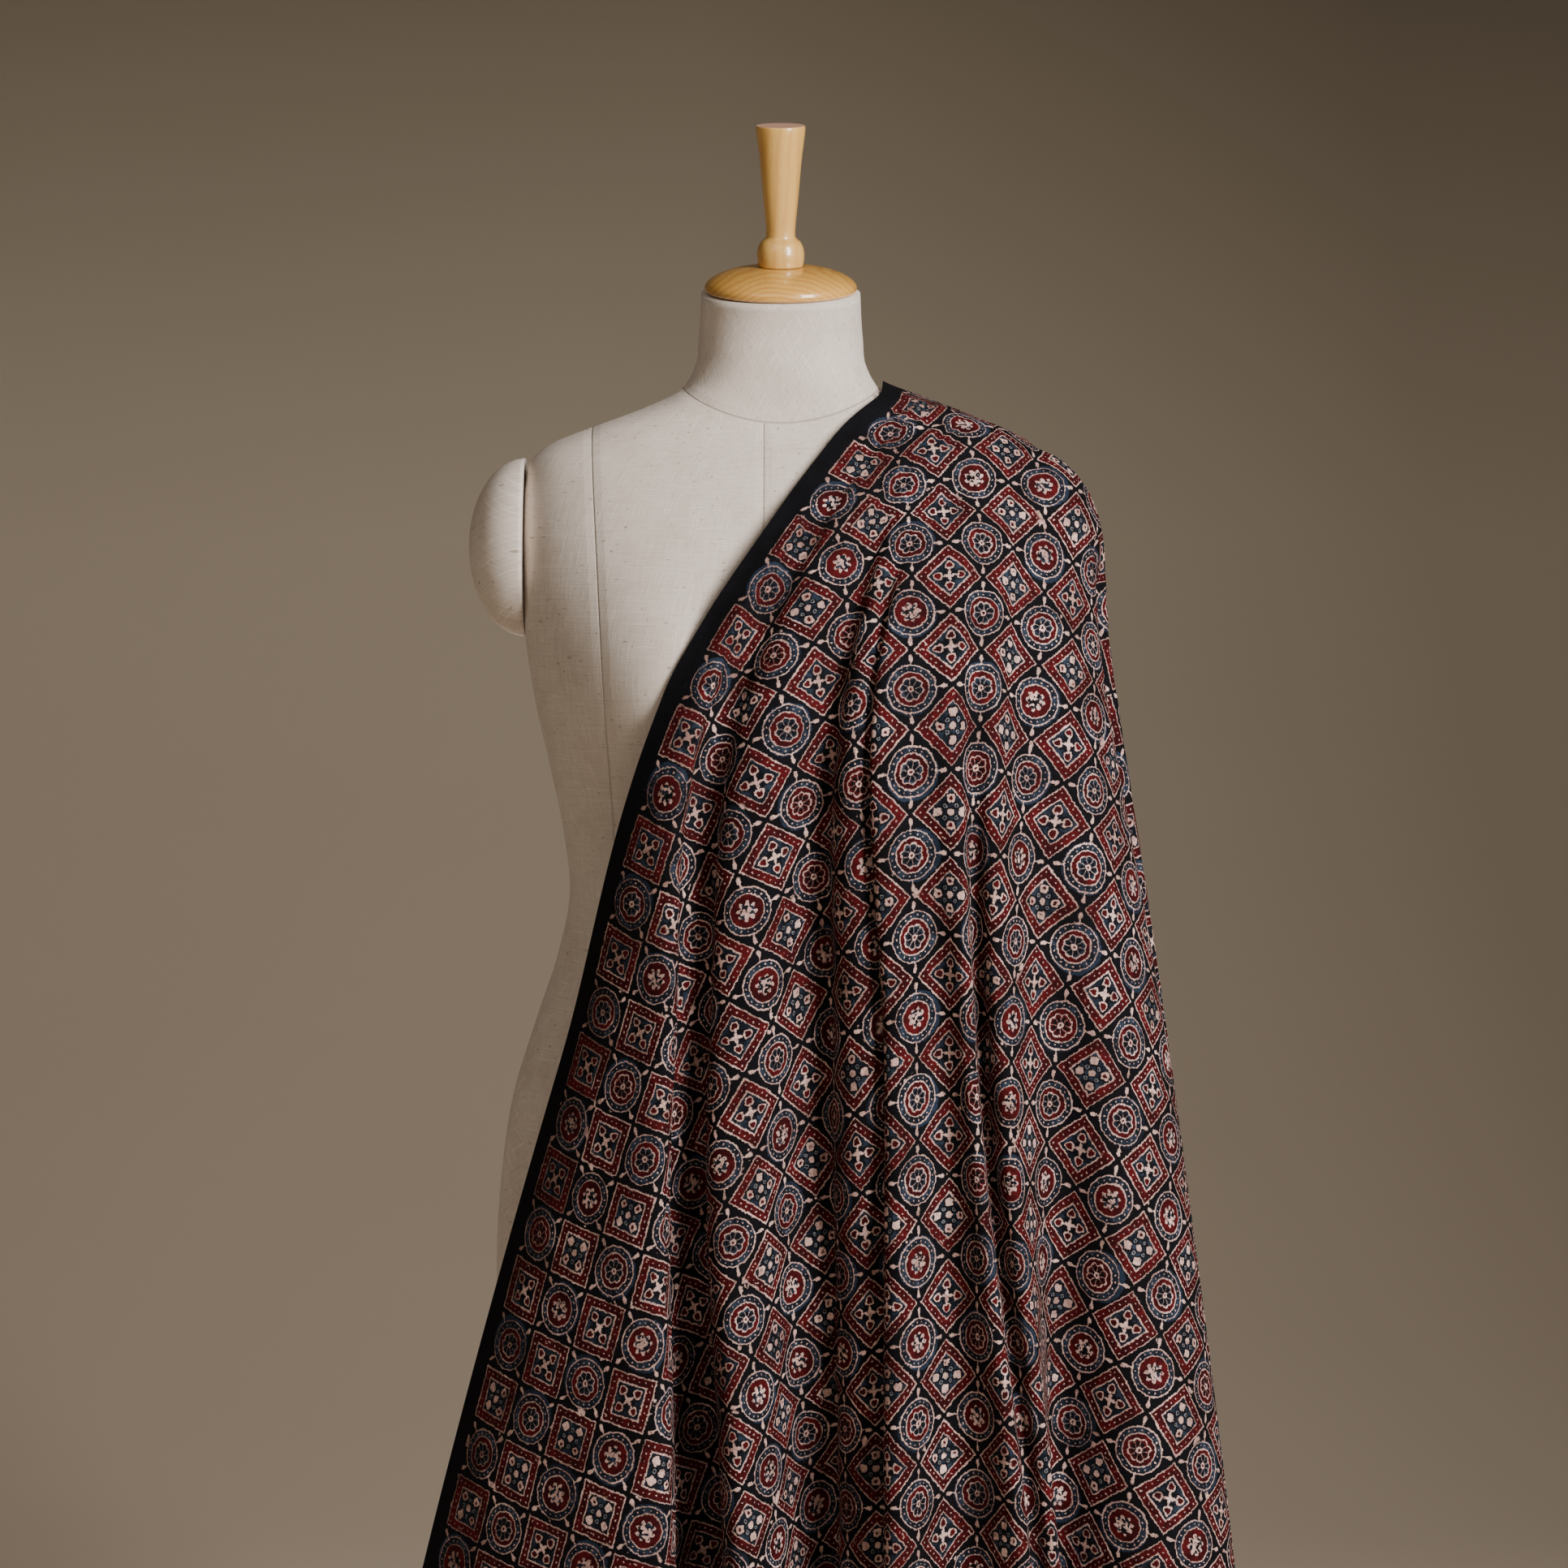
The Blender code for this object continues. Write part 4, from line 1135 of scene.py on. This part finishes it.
def build_form(linen, wood, handle_wood, raw, steel, base_wood):
    heights = []
    for low, high in zip(TORSO_SECTIONS[:-1], TORSO_SECTIONS[1:]):
        parts = max(2, int(round((high[0] - low[0]) / 5.0)))
        heights += list(np.linspace(low[0], high[0], parts, endpoint=False))
    heights.append(TORSO_SECTIONS[-1][0])
    turn = np.linspace(0.0, 2.0 * math.pi, 176, endpoint=False)
    rings = [torso_ring(height * MM, turn) for height in heights]
    mesh, _ = rings_mesh("torso_cover", rings)
    made = [fitted("torso_cover", mesh, linen, "torso")]

    for name, side in (("left", -1.0), ("right", 1.0)):
        arm_turn = np.linspace(0.0, 2.0 * math.pi, 80, endpoint=False)
        base = ARM_PLATE_X + SEAT_GAP
        rings = []
        for step in range(27):
            lift = math.radians(88.0 * step / 26.0)
            reach = math.cos(lift)
            out = base + ARM_BULGE * math.sin(lift)
            y = np.cos(arm_turn) * ARM_HALF_DEPTH * reach
            z = np.sin(arm_turn) * ARM_HALF_HEIGHT * reach + ARM_CENTRE_Z
            rings.append(np.stack([arm_turn * 0.0 + side * out, y, z], 1))
        mesh, _ = rings_mesh("arm_cover_" + name, rings if side < 0.0 else [ring[::-1] for ring in rings])
        made.append(fitted("arm_cover_" + name, mesh, linen, "arm_stub_" + name))

    lean = math.radians(NECK_LEAN_DEG)
    neck_y = -(NECK_TOP - NECK_LEAN_FROM) * math.tan(lean)
    tilt = Matrix.Rotation(lean, 4, "X")
    seat = Matrix.Translation((0.0, neck_y, NECK_TOP)) @ tilt @ Matrix.Translation((0.0, 0.0, SEAT_GAP))
    mesh, _ = turned_mesh("turned_cap", CAP_PROFILE)
    cap = fitted("turned_cap", mesh, wood, "neck_cap")
    cap.matrix_world = seat
    mesh, sides = turned_mesh("turned_finial", FINIAL_PROFILE)
    finial = fitted("turned_finial", mesh, handle_wood, "finial")
    mesh.materials.append(raw)
    for k, face in enumerate(mesh.polygons):
        if k >= sides and face.center.z > 0.05:
            face.material_index = 1
            face.use_smooth = False
    finial.matrix_world = seat @ Matrix.Translation((0.0, 0.0, CAP_PROFILE[-1][1] * MM + SEAT_GAP))

    plate_low = FORM_BOTTOM - SEAT_GAP - PLATE_THICK
    r = PLATE_RADIUS / MM
    t = PLATE_THICK / MM
    plate_rows = ((r - 1.5, 0.0), (r - 0.3, 0.5), (r, 1.6), (r, t - 1.6), (r - 0.3, t - 0.5), (r - 1.5, t))
    mesh, _ = turned_mesh("round_plate", plate_rows, fine=2)
    plate = fitted("round_plate", mesh, base_wood, "base_plate")
    plate.location = (0.0, 0.0, plate_low)

    pole_low = BASE_PROFILE[-1][1] + SEAT_GAP / MM
    pole_high = (plate_low - SEAT_GAP) / MM
    r = POLE_RADIUS / MM
    pole_rows = (
        (r - 0.8, pole_low), (r, pole_low + 0.8), (r, pole_low + 150.0), (r - 0.3, pole_low + 151.0),
        (r - 0.3, pole_high - 190.0), (r, pole_high - 189.0), (r, pole_high - 0.8), (r - 0.8, pole_high),
    )
    mesh, _ = turned_mesh("steel_pole", pole_rows, around=64, fine=3)
    pole = fitted("steel_pole", mesh, steel, "pole")

    mesh, _ = turned_mesh("turned_base", BASE_PROFILE, around=160, fine=6)
    base = fitted("turned_base", mesh, base_wood, "stand_base")
    return [*made, cap, finial, plate, pole, base]


def build_camera():
    camera = bpy.data.cameras.new("camera")
    camera.sensor_fit = "AUTO"
    camera.sensor_width = 36.0
    camera.lens = 36.0 * FOCAL_PX / PICTURE_PX
    camera.clip_start = 0.05
    camera.clip_end = 60.0
    holder = link("camera", camera)
    up = math.radians(VIEW_ELEVATION_DEG)
    back = Vector((0.0, -math.cos(up), math.sin(up)))
    holder.location = Vector(VIEW_CENTRE) + back * VIEW_DISTANCE
    holder.rotation_mode = "QUATERNION"
    holder.rotation_quaternion = (-back).to_track_quat("-Z", "Y")
    bpy.context.scene.camera = holder


def area_light(name, place, aim, size, power, colour):
    lamp = bpy.data.lights.new(name, "AREA")
    lamp.shape = "RECTANGLE"
    lamp.size, lamp.size_y = size
    lamp.energy = power
    lamp.color = colour
    holder = link(name, lamp)
    holder.visible_camera = False
    holder.location = place
    look = Vector(aim) - Vector(place)
    holder.rotation_mode = "QUATERNION"
    holder.rotation_quaternion = look.to_track_quat("-Z", "Y")
    return holder


def build_studio():
    points = []
    faces = []
    profile = [(-STAGE_REACH, 0.0), (SWEEP_FROM, 0.0)]
    for k in range(1, 49):
        turn = math.radians(90.0 * k / 48)
        profile.append((SWEEP_FROM + SWEEP_RADIUS * math.sin(turn), SWEEP_RADIUS * (1.0 - math.cos(turn))))
    profile.append((SWEEP_FROM + SWEEP_RADIUS, STAGE_REACH))
    for x in (-STAGE_REACH, STAGE_REACH):
        for y, z in profile:
            points.append((x, y, z - 0.0004))
    count = len(profile)
    for k in range(count - 1):
        faces.append((k, k + count, k + 1 + count, k + 1))
    mesh = mesh_from("backdrop", points, faces)
    look = Look("backdrop_paper")
    place = look.node("ShaderNodeTexCoord")
    cloud = look.noise(place.outputs["Object"], 1.4, 3.0, 0.5)
    split = look.node("ShaderNodeSeparateXYZ")
    look.link(place.outputs["Object"], split.inputs[0])
    wide = Field(look.tree, split.outputs[0])
    height = Field(look.tree, split.outputs[2])
    # Painted light and shade: the paper is paler at mid height, darker towards the top and darker to the
    # right
    look.shade = look.laid((0.730, 0.615, 0.490), height.over(0.90, 1.6), (0.800, 0.700, 0.555))
    look.lay(height.over(2.10, 1.6), (0.335, 0.285, 0.212))
    look.lay(wide.over(0.60, 1.6), (0.62, 0.61, 0.60), "MULTIPLY")
    look.lay(cloud.over(0.5, 0.5) * 0.12, (0.80, 0.78, 0.74), "MULTIPLY")
    mesh.materials.append(look.done(Roughness=0.95))
    link("backdrop", mesh)

    world = bpy.data.worlds.new("studio")
    bpy.context.scene.world = world
    world.use_nodes = True
    world.node_tree.nodes["Background"].inputs["Color"].default_value = (1.0, 0.85, 0.68, 1.0)
    world.node_tree.nodes["Background"].inputs["Strength"].default_value = 0.12
    area_light("key", (1.47, -1.72, 2.05), (0.0, 0.0, 1.20), (0.75, 1.60), 120.0, (1.0, 0.965, 0.935))
    area_light("fill", (-0.9, -1.9, 2.9), (0.0, 0.0, 1.25), (1.6, 1.4), 11.0, (1.0, 0.90, 0.78))
    area_light("back", (0.0, 1.7, 0.75), (0.0, 0.0, 1.0), (0.5, 1.1), 30.0, (1.0, 0.95, 0.88))


build_camera()
build_studio()
linen = linen_look()
wood = wood_look("varnished_wood", (0.620, 0.340, 0.074), (0.430, 0.175, 0.034), plank=True)
handle_wood = wood_look("turned_wood", (0.650, 0.390, 0.108), (0.530, 0.262, 0.062))
base_wood = wood_look("stand_wood", (0.560, 0.290, 0.100), (0.420, 0.190, 0.055), coat=0.5)
parts = build_form(linen, wood, handle_wood, raw_wood_look(), steel_look(), base_wood)
cloth = build_cloth()
cloth.data.materials.append(ajrakh_look())
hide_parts("ajrakh_cloth")
for piece in [*parts, cloth]:
    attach(piece, "root")
